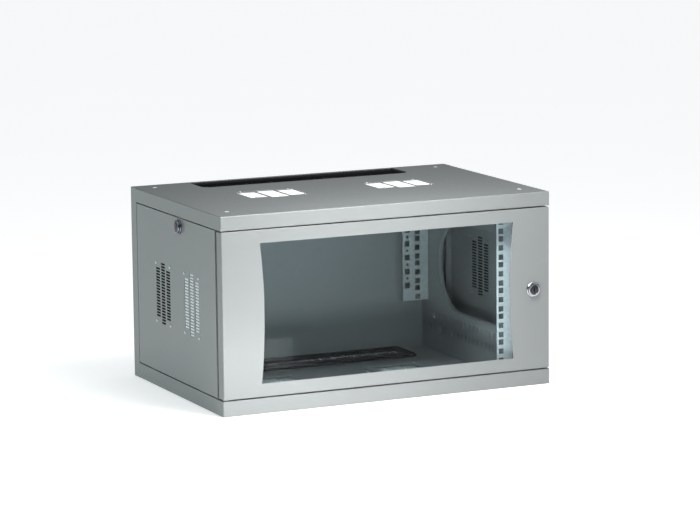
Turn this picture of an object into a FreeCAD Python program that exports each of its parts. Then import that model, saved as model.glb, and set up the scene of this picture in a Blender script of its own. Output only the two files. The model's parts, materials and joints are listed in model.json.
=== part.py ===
import FreeCAD, Part
import os
import re

import Sketcher

# Wall-mounted nineteen-inch network cabinet. Millimetres; X to the right, Y to the rear, Z up.
# The origin is the middle of the underside. Every size is a cell of the sheet, written once here.
SIZES = {
    # Overall
    "cabinet_width": 600.0,
    "cabinet_depth": 400.0,
    "rack_units": 6,
    "unit_height": 44.45,
    "unit_margin": 31.65,
    "fit_gap": 0.3,
    "running_gap": 0.05,
    # Top and bottom covers
    "cover_sheet": 1.5,
    "bottom_lip": 26.0,
    "top_lip": 24.0,
    "lip_return_lap": 2.0,
    "entry_half_width": 195.0,
    "entry_depth": 76.0,
    "entry_chamfer": 10.0,
    "grille_offset": 118.0,
    "grille_shift": 7.0,
    "grille_width": 34.0,
    "grille_pitch": 36.0,
    "grille_short": 66.0,
    "grille_long": 82.0,
    "cover_screw_inset": 14.0,
    "cover_screw_front": 48.0,
    "cover_screw_rear": 32.0,
    "cover_screw_radius": 2.4,
    "cover_screw_head": 4.0,
    "cover_screw_length": 10.0,
    # Rear panel
    "rear_flange": 25.0,
    "wall_hole_radius": 4.5,
    "wall_hole_inset": 23.5,
    "wall_hole_level": 50.0,
    # Side frames
    "frame_half_gap": 254.0,
    "frame_clearance": 4.5,
    "frame_sheet": 1.5,
    "port_setback": 92.0,
    "port_rear_centre": 149.0,
    "port_margin": 84.5,
    "port_collar": 6.0,
    "row_slot_width": 4.5,
    "row_slot_height": 10.5,
    "row_pitch": 15.5,
    "row_setback": 116.0,
    "row_rear_clear": 36.0,
    "row_low": 44.0,
    "row_high": 66.5,
    "catch_low": 24.0,
    "catch_high": 12.0,
    "catch_clearance": 2.0,
    # Rack rails
    "rail_sheet": 2.0,
    "rail_hole_half_spacing": 232.55,
    "rail_inner_edge": 224.5,
    "rail_setback": 48.0,
    "rail_flange": 27.0,
    "rail_hole": 9.5,
    "rail_first_hole": 6.35,
    "rail_hole_pitch": 15.875,
    "rail_screw_setback": 14.0,
    "rail_screw_level": 55.0,
    "rail_screw_radius": 2.4,
    "rail_screw_head": 4.5,
    "rail_screw_head_height": 2.5,
    "rail_screw_length": 7.0,
    "rear_rail_clear": 28.0,
    "rear_rail_inner_edge": 203.5,
    "rear_rail_flange": 20.0,
    "rear_rail_raise": 60.325,
    "rear_rail_column": 212.5,
    "tie_hole": 10.0,
    "tie_pitch": 25.0,
    "tie_first": 28.0,
    "tie_pin_radius": 2.5,
    # Brush entries
    "brush_frame_height": 5.5,
    "brush_frame_border": 8.0,
    "brush_frame_lap": 10.0,
    "brush_end_lap": 6.0,
    "bristle_length": 23.0,
    "bristle_thickness": 2.0,
    "bristle_level": 1.75,
    # Filters behind the grilles and the forward vent groups
    "mat_thickness": 4.0,
    "filter_frame_thickness": 1.5,
    "filter_frame_border": 7.0,
    "filter_screw_radius": 1.4,
    "filter_screw_head": 2.6,
    "filter_screw_head_height": 1.0,
    "filter_screw_length": 8.0,
    "grille_mat_x": 54.0,
    "grille_mat_y": 42.0,
    "grille_screw_x": 44.0,
    "grille_screw_y": 36.0,
    "vent_mat_y": 36.0,
    "vent_mat_z": 56.0,
    "vent_screw_y": 31.0,
    "vent_screw_z": 50.0,
    # Side panels
    "panel_sheet": 1.2,
    "panel_gap": 1.5,
    "panel_fold": 12.0,
    "panel_fold_inset": 2.7,
    "panel_tab_width": 30.0,
    "panel_tab_drop": 13.0,
    "panel_tab_offset": 110.0,
    "vent_forward": -71.0,
    "vent_rearward": 56.0,
    "vent_slot_width": 17.0,
    "vent_slot_height": 3.2,
    "vent_column_pitch": 23.0,
    "vent_row_pitch": 5.05,
    "vent_short_rows": 17,
    "vent_long_rows": 21,
    "side_lock_shift": 20.5,
    "side_lock_drop": 40.3,
    # Door
    "door_gap": 2.0,
    "door_side_gap": 1.0,
    "door_depth": 20.0,
    "door_sheet": 1.5,
    "window_half_width": 231.0,
    "window_margin": 22.0,
    "window_bulge": 6.5,
    "glass_thickness": 4.0,
    "glass_lap": 10.0,
    "gasket_thickness": 1.0,
    "gasket_width": 7.0,
    "clip_width": 16.0,
    "clip_foot": 9.5,
    "clip_lap": 6.0,
    "clip_sheet": 1.5,
    "clip_spacing": 170.0,
    "clip_screw_radius": 1.9,
    "clip_screw_head": 3.5,
    "clip_screw_head_height": 2.2,
    # Hinge
    "hinge_wall_gap": 0.5,
    "hinge_setback": 10.0,
    "hinge_pin_radius": 3.0,
    "hinge_pin_rise": 12.0,
    "hinge_pin_tail": 7.0,
    "hinge_collar_lap": 2.5,
    "hinge_nut_height": 4.5,
    "bush_wall": 1.15,
    "bush_flange_lap": 1.8,
    "bush_flange_height": 1.5,
    "bush_length": 5.0,
    "latch_travel": 10.0,
    "latch_reach": 5.0,
    "latch_bracket_drop": 8.0,
    "latch_closed_height": 16.0,
    "latch_bracket_width": 13.0,
    "latch_bracket_sheet": 1.5,
    "latch_bracket_ear": 15.0,
    "latch_collar_lap": 1.8,
    "latch_knob_lap": 2.0,
    "latch_knob_height": 6.0,
    "latch_knob_gap": 2.0,
    "spring_clearance": 0.65,
    "spring_wire_radius": 0.45,
    "spring_turns": 7,
    # Locks
    "door_lock_inset": 32.0,
    "lock_flange_lap": 2.5,
    "lock_flange_height": 2.5,
    "lock_ring_lap": 0.8,
    "lock_ring_height": 6.0,
    "lock_wall": 2.0,
    "lock_plug_radius": 8.0,
    "lock_plug_proud": 6.5,
    "lock_nut_lap": 4.0,
    "lock_nut_height": 4.0,
    "door_barrel_length": 16.0,
    "side_barrel_length": 8.0,
    "key_slot_width": 1.8,
    "key_slot_length": 10.0,
    "key_slot_depth": 5.0,
    "cam_sheet": 2.0,
    "cam_half_width": 6.0,
    "door_cam_reach": 18.5,
    "door_cam_gap": 1.5,
    "side_cam_reach": 23.5,
    "side_cam_clearance": 1.0,
    "side_cam_gap": 1.2,
    "cam_screw_head": 4.5,
    "cam_screw_head_height": 2.5,
    "cam_screw_radius": 2.4,
    "cam_screw_depth": 8.0,
}

# Shorthand for sums that several pieces share. Each is spelled out where an expression uses it.
DERIVED = {
    "front": "-cabinet_depth / 2",
    "rear": "cabinet_depth / 2",
    "side": "cabinet_width / 2",
    "height": "rack_units * unit_height + 2 * unit_margin",
    "entry_front": "rear - entry_depth",
    "entry_rear": "rear - cover_sheet",
    "frame_front": "door_rear + frame_clearance",
    "frame_rear": "rear - cover_sheet",
    "frame_outer": "side - cover_sheet - fit_gap",
    "frame_wall": "frame_half_gap + frame_sheet",
    "port_front": "front + port_setback",
    "port_centre": "rear - port_rear_centre",
    "port_radius": "height / 2 - port_margin",
    "row_count": "floor((cabinet_depth - row_setback - row_rear_clear) / row_pitch) + 1",
    "screw_x": "frame_half_gap + cover_screw_inset",
    "rail_low": "unit_margin",
    "rail_high": "height - unit_margin",
    "rail_front": "front + rail_setback",
    "rail_screw_y": "rail_front + rail_screw_setback",
    "rear_rail_front": "rear - rear_rail_clear",
    "rear_rail_low": "rail_low + rear_rail_raise",
    "rear_screw_y": "rear_rail_front + rail_screw_setback",
    "tie_count": "floor((rail_high - rear_rail_low - 2 * tie_first) / tie_pitch) + 1",
    "brush_low": "cover_sheet",
    "brush_high": "cover_sheet + brush_frame_height",
    "brush_front": "entry_front + brush_frame_lap",
    "brush_rear": "entry_rear - brush_frame_lap",
    "brush_side": "entry_half_width - brush_end_lap",
    "panel_low": "bottom_lip + panel_gap",
    "panel_high": "height - top_lip - panel_gap",
    "panel_front": "frame_front",
    "panel_rear": "rear - rear_flange - panel_gap",
    "panel_inner": "side - panel_sheet",
    "side_lock_y": "-side_lock_shift",
    "side_lock_z": "height - side_lock_drop",
    "door_low": "bottom_lip + door_gap",
    "door_high": "height - top_lip - door_gap",
    "door_side": "side - door_side_gap",
    "door_rear": "front + door_depth",
    "door_face": "front + door_sheet",
    "window_low": "door_low + window_margin",
    "window_high": "door_high - window_margin",
    "window_mid": "(window_low + window_high) / 2",
    "window_radius": "((window_high - window_low)^2 / 4 + window_bulge^2) / (2 * window_bulge)",
    "glass_side": "window_half_width + glass_lap",
    "glass_low": "window_low - glass_lap",
    "glass_high": "window_high + glass_lap",
    "glass_front": "door_face + gasket_thickness",
    "glass_rear": "glass_front + glass_thickness",
    "clip_rear": "glass_rear + clip_sheet",
    "hinge_inset": "door_sheet + bush_flange_radius + hinge_wall_gap",
    "hinge_x": "-(door_side - hinge_inset)",
    "hinge_y": "door_rear - hinge_setback",
    "bore_radius": "hinge_pin_radius + running_gap",
    "bush_radius": "bore_radius + bush_wall",
    "bush_flange_radius": "bush_radius + bush_flange_lap",
    "hinge_collar_radius": "hinge_pin_radius + hinge_collar_lap",
    "spring_mean_radius": "hinge_pin_radius + spring_clearance + spring_wire_radius",
    "bracket_high": "door_high - latch_bracket_drop",
    "bracket_low": "bracket_high - latch_travel - latch_closed_height",
    "latch_seat": "bracket_high - latch_bracket_sheet - fit_gap",
    "latch_knob_high": "bracket_low - latch_knob_gap",
    "lock_x": "side - door_lock_inset",
    "lock_z": "height / 2",
    "lock_barrel_radius": "lock_plug_radius + lock_wall",
    "lock_ring_radius": "lock_barrel_radius + lock_ring_lap",
    "lock_flange_radius": "lock_barrel_radius + lock_flange_lap",
    "lock_nut_radius": "lock_barrel_radius + lock_nut_lap",
    "catch_half_width": "lock_plug_radius + catch_clearance",
    "cam_front": "frame_front + frame_sheet + door_cam_gap",
    "cam_rear": "cam_front + cam_sheet",
    "side_cam_outer": "side - side_barrel_length - side_cam_gap",
    "side_cam_inner": "side_cam_outer - cam_sheet",
    "side_tip_outer": "side - cover_sheet - side_cam_gap",
}

AXIS_TURN = {
    "x": FreeCAD.Rotation(FreeCAD.Vector(0, 1, 0), 90),
    "y": FreeCAD.Rotation(FreeCAD.Vector(1, 0, 0), -90),
    "z": FreeCAD.Rotation(),
}

DOC = FreeCAD.newDocument("network_cabinet")
NODES = []


def write_sheet():
    """Put every named size into the spreadsheet as a plain number with an alias."""
    sheet = DOC.addObject("Spreadsheet::Sheet", "Sizes")
    for row, (alias, number) in enumerate(SIZES.items(), start=1):
        sheet.set(f"A{row}", alias)
        sheet.set(f"B{row}", str(number))
        sheet.setAlias(f"B{row}", alias)
    DOC.recompute()


def spelled(formula):
    """Turn a formula of plain names into one that reads the sheet."""

    def spell(match):
        word = match.group(0)
        if word in DERIVED:
            return "(" + spelled(DERIVED[word]) + ")"
        return "Sizes." + word if word in SIZES else word

    return re.sub(r"[a-z][a-z0-9_]*", spell, formula)


def node(piece, name):
    """Name a finished piece and list it for export."""
    piece.Label = name
    NODES.append(piece)
    return piece


# ---- Part primitives and booleans ----


def box(x_span, y_span, z_span):
    """Block between two formulas along each axis."""
    block = DOC.addObject("Part::Box", "block")
    spans = zip(("Length", "Width", "Height"), "xyz", (x_span, y_span, z_span))
    for size, axis, (low, high) in spans:
        block.setExpression(size, spelled(f"({high}) - ({low})"))
        block.setExpression(f"Placement.Base.{axis}", spelled(low))
    return block


def place(piece, axis, centre, low):
    """Lay a piece that was made along Z along an axis, its base at low."""
    piece.Placement = FreeCAD.Placement(FreeCAD.Vector(), AXIS_TURN[axis])
    across = [letter for letter in "xyz" if letter != axis]
    for letter, formula in zip(across, centre):
        piece.setExpression(f"Placement.Base.{letter}", spelled(formula))
    piece.setExpression(f"Placement.Base.{axis}", spelled(low))
    return piece


def rod(axis, centre, radius, span):
    """Cylinder along an axis between two formulas."""
    cylinder = DOC.addObject("Part::Cylinder", "rod")
    cylinder.setExpression("Radius", spelled(radius))
    cylinder.setExpression("Height", spelled(f"({span[1]}) - ({span[0]})"))
    return place(cylinder, axis, centre, span[0])


def hexagon(axis, centre, radius, span):
    """Six-sided bar along an axis between two formulas."""
    bar = DOC.addObject("Part::Prism", "hexagon")
    bar.Polygon = 6
    bar.setExpression("Circumradius", spelled(radius))
    bar.setExpression("Height", spelled(f"({span[1]}) - ({span[0]})"))
    return place(bar, axis, centre, span[0])


def fuse(*pieces):
    """One solid from pieces that touch or overlap."""
    if len(pieces) == 1:
        return pieces[0]
    whole = DOC.addObject("Part::MultiFuse", "whole")
    whole.Shapes = list(pieces)
    whole.Refine = True
    return whole


def cut(base, *tools):
    """Base with every tool taken out of it."""
    rest = DOC.addObject("Part::Cut", "rest")
    rest.Base = base
    rest.Tool = fuse(*tools)
    return rest


def group(*pieces):
    """Separate solids kept as one piece."""
    several = DOC.addObject("Part::Compound", "several")
    several.Links = list(pieces)
    return several


def stack(axis, centre, *sections):
    """Coaxial steps, each a radius and its span."""
    return fuse(*[rod(axis, centre, radius, span) for radius, span in sections])


def mirrored(source, name, axis):
    """Copy of a finished piece across the middle of the cabinet."""
    copy = DOC.addObject("Part::Mirroring", "copy")
    copy.Source = source
    copy.Normal = (1, 0, 0) if axis == "x" else (0, 0, 1)
    if axis == "z":
        copy.setExpression("Base.z", spelled("height / 2"))
    return node(copy, name)


# ---- PartDesign bodies ----


def new_body(name):
    """Empty body."""
    return DOC.addObject("PartDesign::Body", name)


def polygon(*points):
    """Closed outline through points given as pairs of formulas."""

    def draw(drawing):
        first = drawing.GeometryCount
        count = len(points)
        corners = [FreeCAD.Vector(index + 1, (index + 1) ** 2, 0) for index in range(count)]
        for index in range(count):
            line = Part.LineSegment(corners[index], corners[(index + 1) % count])
            drawing.addGeometry(line, False)
        for index in range(count):
            following = first + (index + 1) % count
            drawing.addConstraint(Sketcher.Constraint("Coincident", first + index, 2, following, 1))
        for index, point in enumerate(points):
            for kind, formula in zip(("DistanceX", "DistanceY"), point):
                rule = Sketcher.Constraint(kind, -1, 1, first + index, 1, 1.0)
                number = drawing.addConstraint(rule)
                drawing.setExpression(f"Constraints[{number}]", spelled(formula))

    return draw


def rectangle(left, right, low, high):
    """Closed rectangle between formulas."""
    return polygon((left, low), (right, low), (right, high), (left, high))


def circle(across, up, radius):
    """Circle about a point given as two formulas."""

    def draw(drawing):
        start = Part.Circle(FreeCAD.Vector(1, 1, 0), FreeCAD.Vector(0, 0, 1), 1)
        ring = drawing.addGeometry(start, False)
        for kind, formula in (("DistanceX", across), ("DistanceY", up)):
            number = drawing.addConstraint(Sketcher.Constraint(kind, -1, 1, ring, 3, 1.0))
            drawing.setExpression(f"Constraints[{number}]", spelled(formula))
        number = drawing.addConstraint(Sketcher.Constraint("Radius", ring, 1.0))
        drawing.setExpression(f"Constraints[{number}]", spelled(radius))

    return draw


def extrude(body, kind, role, span, *outlines):
    """Pad or Pocket outlines of an origin plane between two formulas along its normal."""
    drawing = body.newObject("Sketcher::SketchObject", "outline")
    plane = next(item for item in body.Origin.OriginFeatures if item.Role == role)
    drawing.AttachmentSupport = (plane, "")
    drawing.MapMode = "FlatFace"
    level = f"-({span[1]})" if role == "XZ_Plane" else span[0]
    drawing.setExpression("AttachmentOffset.Base.z", spelled(level))
    for draw in outlines:
        draw(drawing)
    feature = body.newObject(f"PartDesign::{kind}", kind.lower())
    feature.Profile = drawing
    feature.Reversed = kind == "Pocket"
    feature.setExpression("Length", spelled(f"({span[1]}) - ({span[0]})"))
    body.Tip = feature
    return feature


def repeat(body, feature, direction, spacing, count):
    """Repeat the last feature along its own sketch's axis."""
    pattern = body.newObject("PartDesign::LinearPattern", "pattern")
    pattern.Originals = [feature]
    pattern.Direction = (feature.Profile[0], [direction])
    pattern.Mode = "Spacing"
    pattern.setExpression("Offset", spelled(spacing))
    body.Tip = pattern
    pattern.setExpression("Occurrences", spelled(count))
    return pattern


# ---- Covers, rear panel and side frames ----


def grille_windows():
    """The three openings of each of the two grilles in a cover."""
    windows = []
    for group_x in ("-grille_offset", "grille_offset"):
        for step, length in ((-1, "grille_short"), (0, "grille_long"), (1, "grille_short")):
            middle = f"{group_x} + ({step}) * grille_pitch"
            windows.append(
                rectangle(
                    f"{middle} - grille_width / 2",
                    f"{middle} + grille_width / 2",
                    f"grille_shift - {length} / 2",
                    f"grille_shift + {length} / 2",
                )
            )
    return windows


def cover_screw_places():
    """Corner screw positions as pairs of formulas."""
    rows = ("front + cover_screw_front", "rear - cover_screw_rear")
    return [(across, along) for across in ("-(screw_x)", "screw_x") for along in rows]


def grille_screw_places():
    """Filter screw positions of a cover as pairs of formulas."""
    return [
        (f"{group_x} + ({across}) * grille_screw_x", f"grille_shift + ({along}) * grille_screw_y")
        for group_x in ("-grille_offset", "grille_offset")
        for across in (-1, 1)
        for along in (-1, 1)
    ]


def make_cover(name, lip, hinge_hole):
    """Folded tray with a front channel, side lips, a rear cable entry and two grilles."""
    tray = new_body(name)
    extrude(
        tray, "Pad", "XY_Plane", ("0", "cover_sheet"),
        polygon(
            ("-(side)", "front"),
            ("side", "front"),
            ("side", "rear - rear_flange"),
            ("side - cover_sheet", "rear - rear_flange"),
            ("side - cover_sheet", "entry_rear"),
            ("entry_half_width", "entry_rear"),
            ("entry_half_width", "entry_front + entry_chamfer"),
            ("entry_half_width - entry_chamfer", "entry_front"),
            ("-(entry_half_width - entry_chamfer)", "entry_front"),
            ("-entry_half_width", "entry_front + entry_chamfer"),
            ("-entry_half_width", "entry_rear"),
            ("-(side - cover_sheet)", "entry_rear"),
            ("-(side - cover_sheet)", "rear - rear_flange"),
            ("-(side)", "rear - rear_flange"),
        ),
    )
    extrude(
        tray, "Pad", "XY_Plane", ("cover_sheet", lip),
        polygon(
            ("-(side)", "front"),
            ("side", "front"),
            ("side", "rear - rear_flange"),
            ("side - cover_sheet", "rear - rear_flange"),
            ("side - cover_sheet", "front + cover_sheet"),
            ("-(side - cover_sheet)", "front + cover_sheet"),
            ("-(side - cover_sheet)", "rear - rear_flange"),
            ("-(side)", "rear - rear_flange"),
        ),
    )
    extrude(
        tray, "Pad", "XY_Plane", (f"{lip} - cover_sheet", lip),
        rectangle("-(side)", "side", "front", "door_rear + lip_return_lap"),
    )
    screws = [circle(*spot, "cover_screw_head") for spot in cover_screw_places()]
    filters = [
        circle(*spot, "filter_screw_radius + running_gap") for spot in grille_screw_places()
    ]
    extrude(tray, "Pocket", "XY_Plane", ("0", "cover_sheet"), *grille_windows(), *screws, *filters)
    extrude(
        tray, "Pocket", "XY_Plane", (f"{lip} - cover_sheet", lip),
        circle("hinge_x", "hinge_y", hinge_hole),
    )
    return tray


def make_covers():
    """Bottom cover, and a top cover made upside down and mirrored into place."""
    node(make_cover("bottom_tray", "bottom_lip", "hinge_pin_radius + running_gap"), "bottom_cover")
    mirrored(make_cover("top_tray", "top_lip", "bush_radius"), "top_cover", "z")


def make_rear_panel():
    """Rear panel whose side flanges wrap the cabinet's rear corners, with four wall holes."""
    panel = new_body("rear_shell")
    extrude(
        panel, "Pad", "XY_Plane", ("0", "height"),
        polygon(
            ("-(side)", "rear - rear_flange"),
            ("-(side - cover_sheet)", "rear - rear_flange"),
            ("-(side - cover_sheet)", "rear - cover_sheet"),
            ("side - cover_sheet", "rear - cover_sheet"),
            ("side - cover_sheet", "rear - rear_flange"),
            ("side", "rear - rear_flange"),
            ("side", "rear"),
            ("-(side)", "rear"),
        ),
    )
    extrude(panel, "Pocket", "XZ_Plane", ("rear - cover_sheet", "rear"), *wall_holes((-1, 1)))
    node(panel, "rear_panel")


def wall_holes(sides):
    """Wall fixing holes on the given sides."""
    return [
        circle(f"({sign}) * (side - wall_hole_inset)", level, "wall_hole_radius")
        for sign in sides
        for level in ("wall_hole_level", "height - wall_hole_level")
    ]


def make_side_frames():
    """Outward-facing pans that carry the rails, each with a D-shaped port and slot rows."""
    frame = new_body("frame_pan")
    outer = ("frame_front", "frame_rear", "cover_sheet", "height - cover_sheet")
    inner = (
        "frame_front + frame_sheet", "frame_rear - frame_sheet",
        "cover_sheet + frame_sheet", "height - cover_sheet - frame_sheet",
    )
    collar = ("frame_wall", "frame_wall + port_collar")
    through = ("frame_half_gap", "frame_wall + port_collar")
    wall = ("frame_half_gap", "frame_wall")
    port_low = "port_margin"
    port_high = "height - port_margin"
    middle = "height / 2"
    extrude(frame, "Pad", "YZ_Plane", ("frame_half_gap", "frame_outer"), rectangle(*outer))
    extrude(frame, "Pocket", "YZ_Plane", ("frame_wall", "frame_outer"), rectangle(*inner))
    extrude(
        frame, "Pad", "YZ_Plane", collar,
        rectangle(
            "port_front - frame_sheet", "port_centre",
            f"{port_low} - frame_sheet", f"{port_high} + frame_sheet",
        ),
    )
    extrude(
        frame, "Pad", "YZ_Plane", collar,
        circle("port_centre", middle, "port_radius + frame_sheet"),
    )
    extrude(
        frame, "Pocket", "YZ_Plane", through,
        rectangle("port_front", "port_centre", port_low, port_high),
    )
    extrude(frame, "Pocket", "YZ_Plane", through, circle("port_centre", middle, "port_radius"))
    levels = ("row_low", "row_high", "height - row_high", "height - row_low")
    slots = [
        rectangle(
            "front + row_setback", "front + row_setback + row_slot_width",
            f"{level} - row_slot_height / 2", f"{level} + row_slot_height / 2",
        )
        for level in levels
    ]
    first = extrude(frame, "Pocket", "YZ_Plane", wall, *slots)
    repeat(frame, first, "H_Axis", "row_pitch", "row_count")
    holes = [
        circle(along, level, "rail_screw_radius + running_gap")
        for along, level in rail_screw_places()
    ]
    extrude(frame, "Pocket", "YZ_Plane", wall, *holes)
    corner_holes = [
        circle("screw_x", along, "cover_screw_radius + running_gap")
        for along in ("front + cover_screw_front", "rear - cover_screw_rear")
    ]
    extrude(frame, "Pocket", "XY_Plane", ("0", "height"), *corner_holes)
    extrude(
        frame, "Pocket", "XZ_Plane", ("frame_front", "frame_front + frame_sheet"),
        rectangle(
            "lock_x - catch_half_width", "lock_x + catch_half_width",
            "lock_z - catch_low", "lock_z + catch_high",
        ),
    )
    rear_sheet = ("frame_rear - frame_sheet", "frame_rear")
    extrude(frame, "Pocket", "XZ_Plane", rear_sheet, *wall_holes((1,)))
    mirrored(node(frame, "side_frame_right"), "side_frame_left", "x")


# ---- Rack rails ----


def rail_screw_places():
    """Rail screw positions on a side frame as pairs of formulas."""
    front_levels = ("rail_screw_level", "height - rail_screw_level")
    rear_levels = ("rear_rail_low + rail_screw_setback", "height - rail_screw_level")
    return [("rail_screw_y", level) for level in front_levels] + [
        ("rear_screw_y", level) for level in rear_levels
    ]


def rack_square(base, index):
    """One square hole of a rack unit whose lower edge is at base."""
    middle = f"{base} + rail_first_hole + {index} * rail_hole_pitch"
    return rectangle(
        "rail_hole_half_spacing - rail_hole / 2", "rail_hole_half_spacing + rail_hole / 2",
        f"{middle} - rail_hole / 2", f"{middle} + rail_hole / 2",
    )


def make_front_rails():
    """Angle rails with three square holes per rack unit."""
    rail = new_body("front_angle")
    levels = ("rail_low", "rail_high")
    sheet = ("rail_front", "rail_front + rail_sheet")
    extrude(
        rail, "Pad", "XY_Plane", levels,
        polygon(
            ("rail_inner_edge", "rail_front"),
            ("frame_half_gap", "rail_front"),
            ("frame_half_gap", "rail_front + rail_flange"),
            ("frame_half_gap - rail_sheet", "rail_front + rail_flange"),
            ("frame_half_gap - rail_sheet", "rail_front + rail_sheet"),
            ("rail_inner_edge", "rail_front + rail_sheet"),
        ),
    )
    squares = [rack_square("rail_low", index) for index in range(3)]
    first = extrude(rail, "Pocket", "XZ_Plane", sheet, *squares)
    repeat(rail, first, "V_Axis", "unit_height", "rack_units")
    holes = [
        circle(along, level, "rail_screw_radius + running_gap")
        for along, level in rail_screw_places()[:2]
    ]
    side_sheet = ("frame_half_gap - rail_sheet", "frame_half_gap")
    extrude(rail, "Pocket", "YZ_Plane", side_sheet, *holes)
    mirrored(node(rail, "front_rail_right"), "front_rail_left", "x")


def make_rear_rails():
    """Shorter angle rails at the rear with a second column of tie holes."""
    rail = new_body("rear_angle")
    sheet = ("rear_rail_front", "rear_rail_front + rail_sheet")
    extrude(
        rail, "Pad", "XY_Plane", ("rear_rail_low", "rail_high"),
        polygon(
            ("rear_rail_inner_edge", "rear_rail_front"),
            ("frame_half_gap", "rear_rail_front"),
            ("frame_half_gap", "rear_rail_front + rear_rail_flange"),
            ("frame_half_gap - rail_sheet", "rear_rail_front + rear_rail_flange"),
            ("frame_half_gap - rail_sheet", "rear_rail_front + rail_sheet"),
            ("rear_rail_inner_edge", "rear_rail_front + rail_sheet"),
        ),
    )
    second_unit = "rail_low + unit_height"
    upper = extrude(
        rail, "Pocket", "XZ_Plane", sheet,
        rack_square(second_unit, 1), rack_square(second_unit, 2),
    )
    repeat(rail, upper, "V_Axis", "unit_height", "rack_units - 1")
    lower = extrude(rail, "Pocket", "XZ_Plane", sheet, rack_square(f"{second_unit} + unit_height", 0))
    repeat(rail, lower, "V_Axis", "unit_height", "rack_units - 2")
    tie_level = "rear_rail_low + tie_first"
    tie = extrude(
        rail, "Pocket", "XZ_Plane", sheet,
        rectangle(
            "rear_rail_column - tie_hole / 2", "rear_rail_column + tie_hole / 2",
            f"{tie_level} - tie_hole / 2", f"{tie_level} + tie_hole / 2",
        ),
    )
    repeat(rail, tie, "V_Axis", "tie_pitch", "tie_count")
    between = extrude(
        rail, "Pocket", "XZ_Plane", sheet,
        circle("rear_rail_column", f"{tie_level} + tie_pitch / 2", "tie_pin_radius"),
    )
    repeat(rail, between, "V_Axis", "tie_pitch", "tie_count - 1")
    holes = [
        circle(along, level, "rail_screw_radius + running_gap")
        for along, level in rail_screw_places()[2:]
    ]
    side_sheet = ("frame_half_gap - rail_sheet", "frame_half_gap")
    extrude(rail, "Pocket", "YZ_Plane", side_sheet, *holes)
    mirrored(node(rail, "rear_rail_right"), "rear_rail_left", "x")


def make_rail_screws():
    """Pan-head screws that hold the four rails to the side frames."""
    face = "frame_half_gap - rail_sheet"
    screws = []
    for along, level in rail_screw_places():
        screws.append(
            stack(
                "x", (along, level),
                ("rail_screw_head", (f"{face} - rail_screw_head_height", face)),
                ("rail_screw_radius", (face, f"{face} + rail_screw_length")),
            )
        )
    right = group(*screws)
    left = DOC.addObject("Part::Mirroring", "left_screws")
    left.Source = right
    left.Normal = (1, 0, 0)
    node(group(right, left), "rail_screws")


def make_cover_screws():
    """Flush screws at the corners of both covers."""
    lower = group(
        *[
            stack(
                "z", spot,
                ("cover_screw_head - running_gap", ("0", "cover_sheet")),
                ("cover_screw_radius", ("cover_sheet", "cover_screw_length")),
            )
            for spot in cover_screw_places()
        ]
    )
    mirrored(node(lower, "bottom_cover_screws"), "top_cover_screws", "z")


# ---- Brush entries and filters ----


def make_brush_entries():
    """Brush frame and its two bristle rows for the bottom entry, mirrored for the top one."""
    border = "entry_half_width + brush_frame_border"
    outline = box(
        (f"-({border})", border),
        ("entry_front - brush_frame_border", "entry_rear"),
        ("brush_low", "brush_high"),
    )
    opening = box(
        ("-(brush_side)", "brush_side"), ("brush_front", "brush_rear"), ("0", "brush_high + 1")
    )
    frame = node(cut(outline, opening), "brush_frame_bottom")
    level = ("brush_low + bristle_level", "brush_low + bristle_level + bristle_thickness")
    across = ("-(brush_side)", "brush_side")
    rows = group(
        box(across, ("brush_front", "brush_front + bristle_length"), level),
        box(across, ("brush_rear - bristle_length", "brush_rear"), level),
    )
    node(rows, "brush_bristles_bottom")
    mirrored(frame, "brush_frame_top", "z")
    mirrored(rows, "brush_bristles_top", "z")


def make_grille_filters():
    """White mats, their frames and screws under the grilles of both covers."""
    mat_span = ("cover_sheet", "cover_sheet + mat_thickness")
    frame_span = (mat_span[1], f"{mat_span[1]} + filter_frame_thickness")
    mats = []
    frames = []
    for group_x in ("-grille_offset", "grille_offset"):
        spots = [spot for spot in grille_screw_places() if spot[0].startswith(group_x + " ")]
        across = (f"{group_x} - grille_mat_x", f"{group_x} + grille_mat_x")
        along = ("grille_shift - grille_mat_y", "grille_shift + grille_mat_y")
        bores = [
            rod("z", spot, "filter_screw_radius + running_gap", ("0", f"{frame_span[1]} + 1"))
            for spot in spots
        ]
        hole = box(
            (f"{across[0]} + filter_frame_border * 2.5", f"{across[1]} - filter_frame_border * 2.5"),
            (f"{along[0]} + filter_frame_border * 1.5", f"{along[1]} - filter_frame_border * 1.5"),
            ("0", f"{frame_span[1]} + 1"),
        )
        mats.append(cut(box(across, along, mat_span), *bores))
        frames.append(cut(box(across, along, frame_span), hole, *bores))
    mat_pair = node(group(*mats), "bottom_filter_mats")
    frame_pair = node(group(*frames), "bottom_filter_frames")
    mirrored(mat_pair, "top_filter_mats", "z")
    mirrored(frame_pair, "top_filter_frames", "z")
    lower = []
    upper = []
    for spot in grille_screw_places():
        lower.append(
            stack(
                "z", spot,
                ("filter_screw_radius", ("0", frame_span[1])),
                ("filter_screw_head", (frame_span[1], f"{frame_span[1]} + filter_screw_head_height")),
            )
        )
        upper.append(
            stack(
                "z", spot,
                ("filter_screw_radius", ("height - filter_screw_length", "height")),
                ("filter_screw_head", ("height", "height + filter_screw_head_height")),
            )
        )
    node(group(*lower), "bottom_filter_screws")
    node(group(*upper), "top_filter_screws")


def vent_screw_places(middle):
    """Screw positions around a vent group as pairs of formulas."""
    return [
        (f"{middle} + ({along}) * vent_screw_y", f"height / 2 + ({up}) * vent_screw_z")
        for along in (-1, 1)
        for up in (-1, 1)
    ]


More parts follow.
